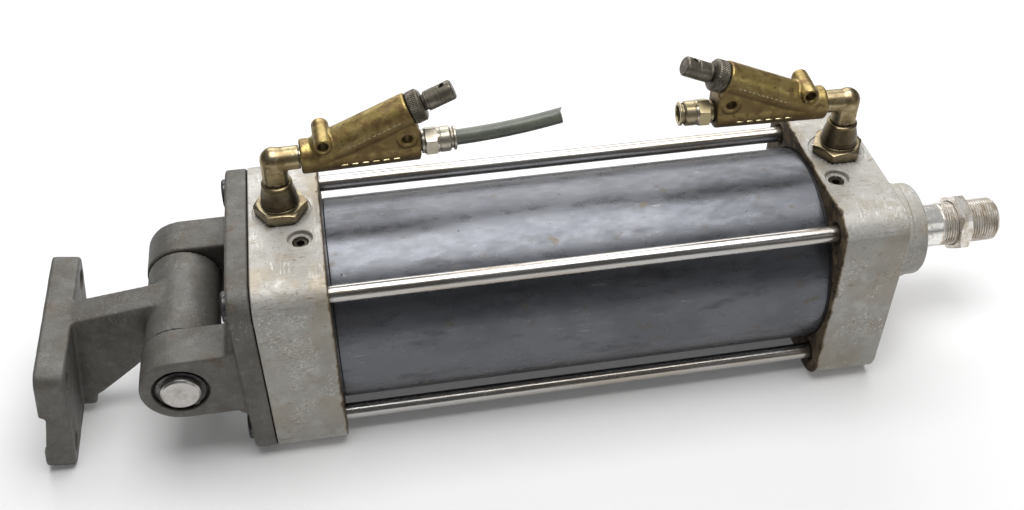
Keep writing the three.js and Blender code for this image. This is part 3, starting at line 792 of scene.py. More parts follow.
def port_cutters(end):
    """The spot face, port and cushion screw hole in a cap's top."""
    port, screw = PORTS[end], SCREWS[end]
    top = CAP_HALF
    floor = top - SPOT_DEPTH
    spot = lathe([(floor, 0), (floor, SPOT_FACE - 0.5, 0.6), (top + 1, SPOT_FACE), (top + 1, 0)], 96)
    spot = moved(spot, TURN["z"], shift(port.x, port.y))
    hole = moved(drill("z", 20, top + 2, PORT_HOLE, 0.5, 64, floor), shift(port.x, port.y))
    bore = moved(drill("z", 36, top + 2, 4.3, 0.2), shift(screw.x, screw.y))
    seat_profile = [
        (top - 2.6, 0), (top - 2.6, 6.1, 0.5), (top - 0.4, 6.3), (top + 0.1, 6.8), (top + 1, 6.8),
        (top + 1, 0),
    ]
    seat = moved(lathe(seat_profile, 64), TURN["z"], shift(screw.x, screw.y))
    return [spot, hole, bore, seat]


def cap(end, start, finish, outer):
    """A cap between two places along the rod; outer is the one that faces away from the barrel."""
    inner = finish if outer == start else start
    side = 1 if outer == finish else -1
    body = square_bar(start, finish, CAP_HALF, CAP_CORNER, 0.8)
    tools = port_cutters(end)
    for y, z in TIE_PLACES:
        rod_hole = drill("x", outer - side * 30, inner - side, TIE_HOLE, 0.6, 48, inner)
        nut_hole = drill("x", inner + side * 6, outer + side, TIE_NUT_HOLE, 0.7, 48, outer)
        tools += [moved(rod_hole, shift(0, y, z)), moved(nut_hole, shift(0, y, z))]
    tools.append(drill("x", inner - side, inner + side * 5, BARREL_SEAT, sides=128))
    tools.append(drill("x", inner - side, outer - side * 9, GUIDE_HOLE, sides=64))
    return body, tools


def make_caps():
    body, tools = cap("rear", 0, REAR_FACE, 0)
    show("rear_cap_casting", cut(body, *tools), ROD_FRAME, "cap_alloy", ["rear_cap"])

    body, tools = cap("front", FRONT_FACE, FRONT_END, FRONT_END)
    step = BOSS_END - 9
    boss = lathe([
        (FRONT_END - 3, 0), (FRONT_END - 3, BOSS_RADIUS + 2.4), (FRONT_END, BOSS_RADIUS + 2.4),
        (FRONT_END + 1.9, BOSS_RADIUS, 1.6), (step, BOSS_RADIUS, 0.3),
        (step + 0.8, BOSS_RADIUS - 0.9, 0.4), (BOSS_END, BOSS_RADIUS - 0.9, 1.2), (BOSS_END, 0),
    ], 128)
    tools.append(lathe([
        (FRONT_END - 12, 0), (FRONT_END - 12, 15.8), (BOSS_END - 10, 15.8), (BOSS_END - 10, 18.8),
        (BOSS_END - 0.6, 18.8), (BOSS_END + 1, 20.4), (BOSS_END + 1, 0),
    ], 96))
    casting = cut(join(body, boss), *tools)
    show("front_cap_casting", casting, ROD_FRAME, "cap_alloy", ["front_cap", "rod_guide"])


def make_barrel():
    skin, spigot = BARREL_RADIUS - 0.02, BARREL_RADIUS - 0.4
    tube = lathe([
        (BARREL_FROM, BARREL_BORE), (BARREL_FROM, spigot), (REAR_FACE + 1, spigot),
        (REAR_FACE + 1.6, skin, 0.3), (REAR_FACE + 90, skin), (FRONT_FACE - 90, skin),
        (FRONT_FACE - 1.6, skin, 0.3), (FRONT_FACE - 1, spigot), (BARREL_TO, spigot),
        (BARREL_TO, BARREL_BORE), (BARREL_FROM, BARREL_BORE),
    ], 192)
    show("barrel_sleeve", tube, ROD_FRAME, "barrel_alloy", ["barrel_tube"])


def make_tie_rods():
    for i, (y, z) in enumerate(TIE_PLACES, 1):
        start, end = (corner.x for corner in corners_of(f"tie_rod_{i}"))
        profile = [(start, 0), (start, 3.6), (start + 0.8, TIE_RADIUS), (REAR_FACE - 3, TIE_RADIUS)]
        profile += [(REAR_FACE + 4 + 20 * k, TIE_RADIUS) for k in range(13)]
        profile += [(FRONT_FACE + 3, TIE_RADIUS), (end - 0.8, TIE_RADIUS), (end, 3.6), (end, 0)]
        rod = moved(lathe(profile, 48), shift(0, y, z))
        show(f"tie_rod_{i}_bar", rod, ROD_FRAME, "polished_steel", [f"tie_rod_{i}"])
        for cap_end in ("rear", "front"):
            node = f"{cap_end}_tie_nut_{i}"
            low, high = corners_of(node)
            radius = (high.y - low.y) / 2
            outer, inner = (low.x, high.x) if cap_end == "rear" else (high.x, low.x)
            side = -1 if cap_end == "rear" else 1
            nut = lathe([
                (inner, 0), (inner, radius - 0.5), (inner + side * 0.5, radius, 0.2),
                (outer - side * 0.9, radius, 0.4), (outer, radius - 0.8, 0.2), (outer, 0),
            ], 64)
            bore = drill("x", inner - side, outer - side * 8, TIE_RADIUS + 0.3)
            socket = hexagon(*sorted((outer - side * 8.5, outer + side * 2)), 10, 0.1)
            near, far = outer - side * 0.7, outer + side * 0.3
            mouth = lathe([(near, 0), (near, 5.3), (far, 6.2), (far, 0)])
            nut = moved(cut(nut, bore, socket, mouth), shift(0, y, z))
            show(f"{node}_sleeve", nut, ROD_FRAME, "dark_steel", [node])


# ---- Rear clevis, pin and circlips ----
EAR_OUTER = 55
EAR_INNER = 30
EAR_RADIUS = 20.5
CLEVIS_PLATE = 12
RECESS_RADIUS = 14.2
RECESS_DEPTH = 3.2
PIN_RADIUS = 10


def make_clevis():
    root, foot = 5 - CLEVIS_PLATE, -3 - CLEVIS_PLATE
    ear = [(root, -EAR_RADIUS - 1), (root, EAR_RADIUS + 1), (foot, EAR_RADIUS)]
    ear += arc((PIN_X, 0), EAR_RADIUS - 0.1, 90, 270, 28)
    ear.append((foot, -EAR_RADIUS))
    thick = (EAR_OUTER - EAR_INNER) / 2 - 0.1
    middle = (EAR_OUTER + EAR_INNER) / 2
    band = rounded_square(5, EAR_RADIUS + 3, 3, 4)
    casting = cast(
        1.0,
        3,
        square_bar(-CLEVIS_PLATE + 0.1, -0.3, CAP_HALF - 0.1, CAP_CORNER, 1.2),
        moved(prism(band, EAR_OUTER - 0.1, 2), shift(-CLEVIS_PLATE + 0.6, 0, 0)),
        moved(prism(ear, thick, 1), shift(0, middle, 0)),
        moved(prism(ear, thick, 1), shift(0, -middle, 0)),
    )
    casting = dented(casting, 0.12, 7)
    tools = [moved(drill("y", -60, 60, PIN_RADIUS + 0.25, sides=64), shift(PIN_X))]
    for side in (-1, 1):
        floor = side * (EAR_OUTER - RECESS_DEPTH)
        recess = lathe([
            (floor, 0), (floor, RECESS_RADIUS, 0.3), (side * (EAR_OUTER - 0.6), RECESS_RADIUS),
            (side * (EAR_OUTER + 0.4), RECESS_RADIUS + 1), (side * (EAR_OUTER + 2), RECESS_RADIUS + 1),
            (side * (EAR_OUTER + 2), 0),
        ])
        tools.append(moved(recess, TURN["y"], shift(PIN_X)))
    for y, z in TIE_PLACES:
        head_hole = drill("x", -5.2, -CLEVIS_PLATE - 2, 8.7, 0.5, 48, -CLEVIS_PLATE)
        screw_hole = drill("x", 2, -CLEVIS_PLATE - 2, 5.4)
        tools += [moved(head_hole, shift(0, y, z)), moved(screw_hole, shift(0, y, z))]
    show("rear_clevis_casting", cut(casting, *tools), ROD_FRAME, "cast_iron", ["rear_clevis"], crease=40)


def make_clevis_screws():
    head_end = 6.7 - CLEVIS_PLATE
    for i, (y, z) in enumerate(TIE_PLACES, 1):
        node = f"clevis_screw_{i}"
        low, high = corners_of(node)
        screw = lathe([
            (low.x, 0), (low.x, 7.2), (low.x + 0.9, 7.9, 0.4), (head_end, 7.9, 0.3), (head_end, 5),
            (high.x - 1, 5), (high.x, 4.2), (high.x, 0),
        ], 64)
        grooves = []
        for k in range(4):
            near = low.x + 1.6 + 1.1 * k
            grooves.append(lathe([(near, 8.3), (near + 0.2, 7.72), (near + 0.4, 8.3), (near, 8.3)], 48))
        screw = cut(screw, hexagon(low.x - 2, low.x + 5.5, 8, 0.1), *grooves)
        show(f"{node}_cap", moved(screw, shift(0, y, z)), ROD_FRAME, "dark_steel", [node])


def polar(radius, turn):
    """The point at that radius and angle in degrees."""
    return radius * math.cos(math.radians(turn)), radius * math.sin(math.radians(turn))


def circlip():
    """An open ring across Y, with an eye at each end."""
    start, end = -62, 242
    outer = []
    for turn in range(start, end + 1, 5):
        outer.append(polar(13.1 - 0.9 * abs(math.sin(math.radians(turn / 2 + 45))), turn))
    inner = arc((0, 0), PIN_RADIUS - 0.9, end, start, 60)
    eyes, holes = [], []
    for turn in (start, end):
        eyes.append(prism(arc(polar(11.3, turn), 2.3, 0, 345, 23), 0.6, 0.12))
        holes.append(prism(arc(polar(11.3, turn), 0.9, 0, 345, 23), 2))
    return cut(join(prism(outer + inner, 0.6, 0.12), *eyes), *holes)


def make_pin():
    groove = EAR_OUTER - RECESS_DEPTH + 0.4
    half = [
        (groove - 0.1, PIN_RADIUS), (groove, PIN_RADIUS - 1.1), (groove + 2, PIN_RADIUS - 1.1),
        (groove + 2.1, PIN_RADIUS, 0.1), (PIN_REACH - 1.1, PIN_RADIUS, 0.3),
        (PIN_REACH, PIN_RADIUS - 1, 0.3), (PIN_REACH, 2.6), (PIN_REACH - 1.3, 0),
    ]
    mirrored = [(-point[0], *point[1:]) for point in reversed(half)]
    pin = moved(lathe(mirrored + half, 96), TURN["y"], shift(PIN_X))
    show("pivot_pin_bar", pin, ROD_FRAME, "plain_steel", ["pivot_pin"])

    for place, side in (("near", -1), ("far", 1)):
        clip = moved(circlip(), shift(PIN_X, side * (groove + 1), 0))
        show(f"circlip_{place}_ring", clip, ROD_FRAME, "dark_steel", [f"circlip_{place}"])


# ---- Pivot bracket, drawn round its own pin axis and tilted ----
BRACKET_FRAME = ROD_FRAME @ shift(PIN_X) @ Matrix.Rotation(BRACKET_TILT, 4, "Y")
PLATE = {"back": -71, "face": -56, "top": 4, "bottom": -66, "half_width": 48, "corner": 7}
EYE_RADIUS = 19.5
EYE_HALF = 29.6
EYE_BORE = 12.2
BOLT_PLACES = [(side * 38, z) for side in (-1, 1) for z in (-8, -54)]
BOLT_HOLE = 5.5
WEB_THICK = 17.5


def make_bracket():
    back, face = PLATE["back"], PLATE["face"]
    middle_z = (PLATE["top"] + PLATE["bottom"]) / 2
    half_high = (PLATE["top"] - PLATE["bottom"]) / 2
    rings = []
    for place, inset in stations(back + 0.1, face, 1.0):
        section = rounded_square(PLATE["half_width"] - inset, half_high - inset, PLATE["corner"] - inset, 6)
        rings.append([(place, y, z + middle_z) for y, z in section])
    web = [
        (-2, EYE_RADIUS - 0.2), (face - 1, 4, 2), (face - 1, -59), (-48, -59, 2), (-48, -52, 3),
        (-44.5, -49.5, 2), (-12, -15.4), *arc((0, 0), EYE_RADIUS - 0.3, 232, 456, 30),
    ]
    casting = cast(
        1.0,
        3,
        loft(rings),
        prism(filleted(web, True), WEB_THICK / 2, 1.2),
        moved(bar(-EYE_HALF, EYE_HALF, EYE_RADIUS, 0.8), TURN["y"]),
    )
    casting = dented(casting, 0.14, 8, 3)
    relief = filleted([(back - 2, -24), (back + 4, -24, 4), (back + 1.2, -52, 1), (back - 2, -53)])
    tools = [prism(relief, 60), drill("y", -35, 35, EYE_BORE, sides=72)]
    for y, z in BOLT_PLACES:
        tools.append(moved(drill("x", back - 2, face + 2, BOLT_HOLE, 0.5, 48, face), shift(0, y, z)))
    for side in (-1, 1):
        near, far = side * (EYE_HALF - 0.6), side * (EYE_HALF + 0.4)
        tools.append(moved(lathe([(near, 0), (near, EYE_BORE), (far, EYE_BORE + 1), (far, 0)]), TURN["y"]))
    casting = cut(casting, *tools)
    show("pivot_bracket_casting", casting, BRACKET_FRAME, "cast_iron", ["pivot_bracket"], crease=40)

    low, high = corners_of("eye_bush")
    half = (high.y - low.y) / 2
    outside = [(-half, 10.3), (-half, 12, 0.4), (half, 12, 0.4)]
    bush = lathe([*outside, (half, 10.3, 0.3), (-half, 10.3, 0.3)], 96)
    show("eye_bush_sleeve", moved(bush, TURN["y"]), BRACKET_FRAME, "bronze", ["eye_bush"])


# ---- Ports: bushing, swivel base and cushion screw ----
BUSHING_FLATS = 24


def make_port(end):
    place = ROD_FRAME @ shift(PORTS[end].x, PORTS[end].y)
    low, high = corners_of(f"{end}_port_bushing")
    rim = high.z + 0.25
    flats = hexagon(CAP_HALF - 0.35, high.z, BUSHING_FLATS, 1.5, spin=math.pi / 6)
    collar = lathe([(high.z - 1, 0), (high.z - 1, 9.9), (rim, 9.9, 0.3), (rim, 0)], 96)
    shank = bar(low.z, CAP_HALF, 10.5, 0, 64)
    bore = drill("x", low.z - 1, high.z + 2, 7.1, 0.6, 64, rim)
    bushing = moved(cut(join(flats, collar, shank), bore), TURN["z"])
    show(f"{end}_bushing", bushing, place, "yellow_steel", [f"{end}_port_bushing"])

    low, high = corners_of(f"{end}_swivel_base")
    foot = BUSHING_TOP + 0.3
    flare = lathe([
        (low.z, 4.5), (low.z, 6.6), (foot, 6.6), (foot, 9.3, 0.3), (foot + 1.0, 9.7, 0.5),
        (foot + 1.6, 9.5, 0.2), (foot + 2.0, 9.15, 0.3), (foot + 2.7, 9.35, 0.3), (foot + 6.2, 8.9, 2),
        (high.z - 1.9, 7.6, 0.4), (high.z - 1.4, 7.9, 0.3), (high.z - 0.5, 7.8, 0.4),
        (high.z, 7.0, 0.3), (high.z, 5.9), (CAP_HALF + 8, 5.9), (CAP_HALF + 8, 4.5), (low.z, 4.5),
    ], 96)
    show(f"{end}_base_sleeve", moved(flare, TURN["z"]), place, "elbow_brass", [f"{end}_swivel_base"])


def make_cushion_screw(end):
    low, high = corners_of(f"{end}_cushion_screw")
    body = lathe([
        (low.z, 0), (low.z, 3.4), (low.z + 0.6, 4), (high.z - 0.6, 4, 0.2), (high.z, 3.4, 0.1),
        (high.z, 0),
    ], 48)
    plug = moved(cut(body, hexagon(high.z - 4, high.z + 1, 4, 0.1)), TURN["z"])
    place = ROD_FRAME @ shift(SCREWS[end].x, SCREWS[end].y)
    show(f"{end}_cushion_plug", plug, place, "yellow_steel", [f"{end}_cushion_screw"])


# ---- Flow-control valves, drawn from the port's axis with the arm along +X at height 0 ----
ARM_RADIUS = 6
STEM_RADIUS = 6.6
STEM_FLAT = 1.5
SHOULDER = 13.4
RUN_END = 73.2
FITTING_START = 75.4
HEX_END = 82.2
ROUND_END = 88.8
HOUSING_RADIUS = 9
HALF_FLAT = 8.3
LUG = {"x": 25, "z": 10.8, "radius": 4.4, "reach": 10.2, "hole": 2.6}
PAD = {"x": 66.4, "z": 8.6, "radius": 5, "reach": 9, "hole": 2.5}
RING_RADIUS = 8.5
KNOB_RADIUS = 5.1
KNOB_HOLE = 18.5
joints = {joint["name"]: joint for joint in frame["joints"]}
needle_joints = {end: joints[f"{end}_needle_turn"] for end in ("rear", "front")}
VALVE_TURN = {end: math.atan2(joint["axis"][1], joint["axis"][0]) for end, joint in needle_joints.items()}
LEAN = math.asin(needle_joints["rear"]["axis"][2])


def valve_frame(end):
    place = shift(PORTS[end].x, PORTS[end].y, ARM_HEIGHT)
    return ROD_FRAME @ place @ Matrix.Rotation(VALVE_TURN[end], 4, "Z")


seat_in_frame = valve_frame("rear").inverted() @ Vector(needle_joints["rear"]["pos_m"])
# Along +X to along the needle, from the housing's end face.
ON_NEEDLE = Matrix.Translation(seat_in_frame) @ Matrix.Rotation(-LEAN, 4, "Y")


def make_elbow(end):
    rim = BASE_TOP - ARM_HEIGHT + 0.3
    foot = BUSHING_TOP + 3 - ARM_HEIGHT
    stem = moved(bar(rim, 0.8, STEM_RADIUS), TURN["z"])
    turns = [k * math.pi / 16 for k in range(-7, 8)]
    knee = [(STEM_RADIUS * math.sin(turn), STEM_RADIUS * math.cos(turn)) for turn in turns]
    ball = lathe([(-STEM_RADIUS, 0), *knee, (STEM_RADIUS, 0)])
    body = cast(0.45, 3, stem, ball, bar(0, SHOULDER - 0.3, ARM_RADIUS))
    flats = []
    for side in (-1, 1):
        flat = [(-9, rim - 1), (9, rim - 1), (9, -3.6), (-9, -3.6)]
        flats.append(moved(prism(filleted(flat), 3), shift(0, side * (STEM_RADIUS + 3 - STEM_FLAT))))
    neck = sleeve(SHOULDER - 2, SHOULDER + 7, 3, 4.6)
    root = moved(sleeve(foot, rim + 1, 3, 5.4), TURN["z"])
    whole = gathered(cut(body, *flats), neck, root)
    show(f"{end}_elbow", whole, valve_frame(end), "elbow_brass", [f"{end}_valve_elbow"], crease=38)


def dashes(start, finish, count, lift):
    """Short raised bars in a row from start to finish, standing lift proud."""
    start, finish = Vector(start), Vector(finish)
    pitch = (finish - start) / count
    tilt = Matrix.Rotation(-math.atan2(pitch.z, pitch.x), 4, "Y")
    long, short = pitch.length * 0.33, pitch.length * 0.22
    low = lift * 0.6
    profile = [(-long, 0), (-long, low), (-short, lift), (short, lift), (long, low), (long, 0)]
    places = [Matrix.Translation(start + pitch * (k + 0.5)) for k in range(count)]
    return gathered(*[moved(lathe(profile, 10), tilt, place) for place in places])


def cross_bar(size, corner):
    """The round boss of a hole across the valve's body."""
    boss = bar(-size["reach"], size["reach"], size["radius"], corner, 64)
    return moved(boss, TURN["y"], shift(size["x"], 0, size["z"]))


def flared_hole(radius, reach, lip):
    """A cutter along X for a hole through a bar, flared by lip where it leaves the bar at reach."""
    mouth, far = radius + lip, reach + 2
    return lathe([
        (-far, 0), (-far, mouth), (-reach, mouth), (-reach + lip, radius), (reach - lip, radius),
        (reach, mouth), (far, mouth), (far, 0),
    ], 48)


def cross_hole(size):
    """A cutter for the hole across the valve's body."""
    return moved(flared_hole(size["hole"], size["reach"], 0.7), TURN["y"], shift(size["x"], 0, size["z"]))


def make_valve_body(end):
    face = seat_in_frame
    foot = -(face.x - ARM_RADIUS) / math.cos(LEAN) + 18
    housing = lathe([(foot, 0), (foot, HOUSING_RADIUS), (-0.2, HOUSING_RADIUS, 0.8), (-0.2, 0)], 96)
    run_face = RUN_END - 0.2
    run = bar(SHOULDER, run_face, HOUSING_RADIUS - 0.2, 1.2, 96)
    wedge = [
        (SHOULDER + 8, -2.5), (run_face, -2.5), (run_face, 12.4), (RUN_END - 1, 13.2), (face.x, face.z),
        (20.5, 0),
    ]
    saddle = [(19, 2), (32, 6), (28.6, 10.8), (21.4, 10.8)]
    lug, pad = cross_bar(LUG, 0.9), cross_bar(PAD, 0.5)
    wedge, saddle = prism(wedge, HALF_FLAT), prism(saddle, 7)
    body = cast(0.5, 2, moved(housing, ON_NEEDLE), run, wedge, lug, pad, saddle)
    tools = [
        drill("x", SHOULDER + 8, SHOULDER - 1, 5.05, 0.2, 48, SHOULDER),
        drill("x", RUN_END - 9, RUN_END + 1, 5.05, 0.3, 48, run_face),
        moved(drill("x", -32, 1, 3.6, 0.3, 48, -0.2), ON_NEEDLE),
        cross_hole(LUG),
        cross_hole(PAD),
    ]
    body = cut(body, *tools)
    show(f"{end}_valve_housing", body, valve_frame(end), "valve_brass", [f"{end}_valve_body"], crease=42)

    upper = ON_NEEDLE @ Vector((-36, 0, 0.6)), ON_NEEDLE @ Vector((-6, 0, 0.6))
    lower = (32, 0, -2.2), (63, 0, -2.2)
    rows = []
    for way in (-1, 1):
        rows.append(moved(dashes(*upper, 11, 0.5), shift(0, way * (HOUSING_RADIUS - 0.3))))
        rows.append(moved(dashes(*lower, 6, 0.5), shift(0, way * (HALF_FLAT + 0.15))))
    whole, rider = gathered(*rows), f"{end}_valve"
    show(f"{end}_valve_dashes", whole, valve_frame(end), "valve_brass", [], "worn_brass", body=rider)


def make_fitting(end):
    flats = hexagon(FITTING_START, HEX_END, 13.2, 0.9, math.pi / 6)
    barrel = lathe([
        (HEX_END - 1, 0), (HEX_END - 1, 6.5), (HEX_END + 0.5, 6.5, 0.1), (HEX_END + 0.8, 6.2, 0.1),
        (HEX_END + 1.2, 6.2, 0.1), (HEX_END + 1.5, 6.5, 0.1), (ROUND_END - 0.8, 6.5, 0.5),
        (ROUND_END, 5.9, 0.2), (ROUND_END, 0),
    ], 96)
    neck = lathe([
        (RUN_END - 7, 0), (RUN_END - 7, 4.5), (FITTING_START - 1.4, 4.5),
        (FITTING_START - 1.4, 6.0, 0.2), (FITTING_START + 0.5, 6.0), (FITTING_START + 0.5, 0),
    ], 64)
    bore = drill("x", RUN_END + 3, ROUND_END + 1, 5.5, 0.3, 64, ROUND_END)
    socket = cut(join(flats, barrel, neck), bore)
    show(f"{end}_tube_socket", socket, valve_frame(end), "nickel", [f"{end}_tube_fitting"])

    collar = lathe([
        (ROUND_END - 8, 4.4), (ROUND_END - 8, 5.1), (ROUND_END + 1.5, 5.1), (ROUND_END + 1.5, 6.2, 0.3),
        (ROUND_END + 2.8, 6.2, 0.5), (ROUND_END + 2.8, 4.6, 0.2), (ROUND_END + 2.3, 4.4, 0.2),
        (ROUND_END - 8, 4.4),
    ], 96)
    show(f"{end}_release_ring", collar, valve_frame(end), "nickel", [f"{end}_release_collar"])


def diamond(along, radius, angle):
    """A diamond knurl on the widest part of a ring."""
    if radius < RING_RADIUS - 0.3:
        return radius
    count, pitch, depth = 38, 1.5, 0.34
    turn = angle * count / TAU
    waves = [abs(((turn + sign * along / pitch) % 1) * 2 - 1) for sign in (-1, 1)]
    return radius - depth * (2 - sum(waves))


def make_needle(end):
    place = valve_frame(end) @ ON_NEEDLE
    ring = lathe([
        (0.3, 3.9), (0.3, 7.9, 0.1),
        *[(0.9 + 4.6 * k / 18, RING_RADIUS) for k in range(19)],
        (6.2, 7.6, 0.2), (6.8, 6.6, 0.2), (6.8, 3.9), (0.3, 3.9),
    ], 264, diamond)
    show(f"{end}_knurled_ring", ring, place, "knob_steel", [f"{end}_lock_ring"], crease=28)

    stem = lathe([
        (-30, 0), (-30, 0.6), (-25, 3.1), (7.1, 3.1), (7.1, 4.1, 0.2), (8.3, 4.1),
        (8.6, KNOB_RADIUS, 0.2), (9.1, KNOB_RADIUS), (9.4, KNOB_RADIUS - 0.2, 0.1), (9.7, KNOB_RADIUS),
        (15.6, KNOB_RADIUS), (15.9, KNOB_RADIUS - 0.2, 0.1), (16.2, KNOB_RADIUS),
        (22.4, KNOB_RADIUS, 0.5), (23.2, 4.3, 0.4), (23.2, 1.2), (22.9, 0),
    ], 72)
    knob = cut(stem, moved(flared_hole(1.4, KNOB_RADIUS, 0.5), TURN["z"], shift(KNOB_HOLE)))
    show(f"{end}_needle_knob", knob, place, "knob_steel", [f"{end}_needle"])


# ---- Tube ----
TUBE_RADIUS = 4
TUBE_BORE = 2.6
# The tube's middle line from its end inside the fitting, in the rear valve's frame.
TUBE_STEPS = [(-9, 0), (0, 0), (14, 0.4), (29, 1.5), (44, 3.4), (59, 6)]
TUBE_ROUTE = [(ROUND_END + along, 0, rise) for along, rise in TUBE_STEPS]


def smooth_line(route, steps):
    """Points on a smooth curve through the route's points."""
    knots = [Vector(point) for point in route]
    knots = [knots[0] * 2 - knots[1], *knots, knots[-1] * 2 - knots[-2]]
    line = []
    for k in range(steps + 1):
        place = k * (len(route) - 1) / steps
        span = min(int(place), len(route) - 2)
        t = place - span
        a, b, c, d = knots[span : span + 4]
        squared = (2 * a - 5 * b + 4 * c - d) * t**2
        cubed = (3 * b - a - 3 * c + d) * t**3
        line.append(0.5 * (2 * b + (c - a) * t + squared + cubed))
    return line


def tube_ring(line, k, radius, sides=40):
    """The tube's section at a point of its line; the last one is cut on a slant."""
    across = Vector((0, 1, 0))
    ahead = (line[min(k + 1, len(line) - 1)] - line[max(k - 1, 0)]).normalized()
    up = ahead.cross(across)
    ring = []
    for n in range(sides):
        turn = TAU * n / sides
        point = line[k] + (up * math.sin(turn) + across * math.cos(turn)) * radius
        if k == len(line) - 1:
            point -= ahead * (TUBE_RADIUS - radius * math.cos(turn - 0.65)) * 0.85
        ring.append(point)
    return ring


def make_tube():
    line = smooth_line(TUBE_ROUTE, 48)
    outside = [tube_ring(line, k, TUBE_RADIUS) for k in range(len(line))]
    inside = [tube_ring(line, k, TUBE_BORE) for k in reversed(range(len(line)))]
    place = valve_frame("rear")
    tube = show("tube_offcut", loft(outside + inside, True), place, "tube_plastic", ["tube_stub"])


# ---- Rod and lock nut ----
ROD_RADIUS = 12.5
NUT_FLATS = 30
PITCH = 1.5
THREAD_DEPTH = 0.92
# Outline points to each turn of a thread.
THREAD_STEPS = 8


def ridge(along, angle):
    """Depth of a thread's groove at a place, from 0 on its crest to 1 in its root."""
    wave = (along / PITCH - angle / TAU) % 1
    return min(1.0, max(0.0, 1.25 - abs(wave * 2 - 1) * 1.5))


def thread_line(start, end, radius):
    """Outline points close enough together to hold a thread."""
    steps = int((end - start) / PITCH * THREAD_STEPS)
    return [(start + k * PITCH / THREAD_STEPS, radius) for k in range(steps)]


def rod_thread(along, radius, angle):
    if along < THREAD_START + 0.4 or radius < THREAD_RADIUS - THREAD_DEPTH:
        return radius
    run_out = min(1.0, (along - THREAD_START - 0.4) / 2)
    return min(radius, THREAD_RADIUS - THREAD_DEPTH * run_out * ridge(along, angle))


def make_rod():
    start = corners_of("piston_rod")[0].x
    piston_end = corners_of("piston")[1].x - 6
    rod = lathe([
        (start, 0), (start, 7.6), (piston_end, 7.6), (piston_end, ROD_RADIUS),
        (THREAD_START - 3.2, ROD_RADIUS), (THREAD_START - 2.4, ROD_RADIUS, 0.3),
        (THREAD_START - 0.2, THREAD_RADIUS), *thread_line(THREAD_START, ROD_END - 1.4, THREAD_RADIUS),
        (ROD_END - 0.9, THREAD_RADIUS - 0.5), (ROD_END, THREAD_RADIUS - 1.5), (ROD_END, 2.2),
        (ROD_END - 1.6, 0),
    ], 96, rod_thread)
    show("piston_rod_bar", rod, ROD_FRAME, "polished_steel", ["piston_rod"], "rod_steel", crease=30)


def make_lock_nut():
    low, high = corners_of("rod_lock_nut")
    bore = THREAD_RADIUS + 0.12

    def nut_thread(along, radius, angle):
        if not low.x + 1 < along < high.x - 1:
            return radius
        return radius - 0.8 * (1 - ridge(along, angle))

    hole = lathe([
        (low.x - 0.2, 0), (low.x - 0.2, bore + 0.9), (low.x + 1.2, bore - 0.5),
        *thread_line(low.x + 1.3, high.x - 1.3, bore), (high.x - 1.2, bore - 0.5),
        (high.x + 0.2, bore + 0.9), (high.x + 0.2, 0),
    ], 96, nut_thread)
    nut = cut(hexagon(low.x, high.x, NUT_FLATS, 1.5, math.radians(18)), hole)
    show("lock_nut", nut, ROD_FRAME, "plain_steel", ["rod_lock_nut"], "rod_steel")


def make_bush():
    low, high = corners_of("rod_bush")
    outside = [(low.x, 12.9), (low.x, 15.4, 0.4), (high.x, 15.4, 0.4)]
    bush = lathe([*outside, (high.x, 12.9, 0.4), (low.x, 12.9)], 96)
    show("rod_bush_sleeve", bush, ROD_FRAME, "bronze", ["rod_bush"])

    low, high = corners_of("rod_wiper")
    wiper = lathe([
        (low.x, 12.9), (low.x, 18.4), (high.x - 0.5, 18.4, 0.4), (high.x - 0.5, 15.4, 0.5),
        (high.x - 2.2, 14.6, 0.4), (high.x, 13.2, 0.2), (high.x, 12.8), (low.x + 3, 13.2),
        (low.x, 12.9),
    ], 96)
    show("rod_wiper_lip", wiper, ROD_FRAME, "rubber", ["rod_wiper"])


def dress_hidden_nodes():
    """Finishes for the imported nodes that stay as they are, inside the cylinder."""
    finishes = {
        "rubber": (
            "rear_barrel_seal", "front_barrel_seal", "rear_cushion_seal", "front_cushion_seal",
            "piston_seal_rear", "piston_seal_front",
        ),
        "grey_plastic": ("piston_wear_ring",),
        "cap_alloy": ("piston",),
        "plain_steel": ("piston_nut", "front_cushion_spigot"),
    }
    for slot, names in finishes.items():
        for name in names:
            node = frame["nodes"][name]
            node.data.materials.clear()
            node.data.materials.append(looks[slot])


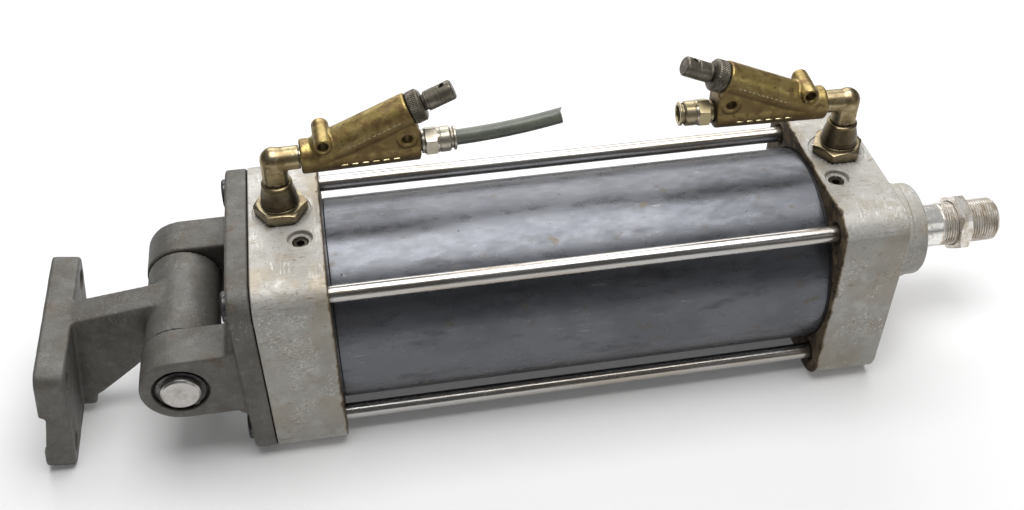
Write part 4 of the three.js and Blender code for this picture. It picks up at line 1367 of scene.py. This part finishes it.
make_tube()
make_caps()
make_barrel()
make_tie_rods()
make_clevis()
make_clevis_screws()
make_pin()
make_bracket()
make_rod()
make_lock_nut()
make_bush()
for port_end in ("rear", "front"):
    make_port(port_end)
    make_cushion_screw(port_end)
    make_elbow(port_end)
    make_valve_body(port_end)
    make_fitting(port_end)
    make_needle(port_end)
dress_hidden_nodes()


# ---- Floor and light ----
def make_stage():
    mesh = bpy.data.meshes.new("floor")
    floor = bmesh.new()
    bmesh.ops.create_grid(floor, x_segments=1, y_segments=1, size=6)
    floor.to_mesh(mesh)
    floor.free()
    surface = bpy.data.materials.new("floor")
    surface.use_nodes = True
    shader = surface.node_tree.nodes["Principled BSDF"]
    shader.inputs["Base Color"].default_value = (0.82, 0.82, 0.82, 1)
    shader.inputs["Roughness"].default_value = 0.9
    shader.inputs["Emission Color"].default_value = (1, 1, 1, 1)
    shader.inputs["Emission Strength"].default_value = 0.08
    mesh.materials.append(surface)
    obj = bpy.data.objects.new("floor", mesh)
    obj.location.z = cad_low.z - 0.0002
    scene.collection.objects.link(obj)


def softbox(name, place, target, wide, deep, power):
    lamp = bpy.data.lights.new(name, "AREA")
    lamp.shape = "RECTANGLE"
    lamp.size = wide
    lamp.size_y = deep
    lamp.energy = power
    obj = bpy.data.objects.new(name, lamp)
    obj.location = place
    obj.rotation_mode = "QUATERNION"
    obj.rotation_quaternion = (Vector(target) - Vector(place)).to_track_quat("-Z", "Y")
    scene.collection.objects.link(obj)


def make_light():
    middle = (cad_low + cad_high) / 2
    softbox("overhead", middle + Vector((0.05, 0.0, 1.1)), middle, 0.9, 1.0, 15)
    softbox("back", middle + Vector((0.1, 1.4, 0.9)), middle, 1.6, 1.2, 18)
    softbox("front", middle + Vector((1.2, -1.2, 0.8)), middle, 0.8, 0.8, 1.6)
    world = bpy.data.worlds.new("studio")
    world.use_nodes = True
    world.node_tree.nodes["Background"].inputs["Color"].default_value = (1, 1, 1, 1)
    world.node_tree.nodes["Background"].inputs["Strength"].default_value = 0.10
    scene.world = world
    scene.view_settings.view_transform = "Standard"


make_stage()
make_light()
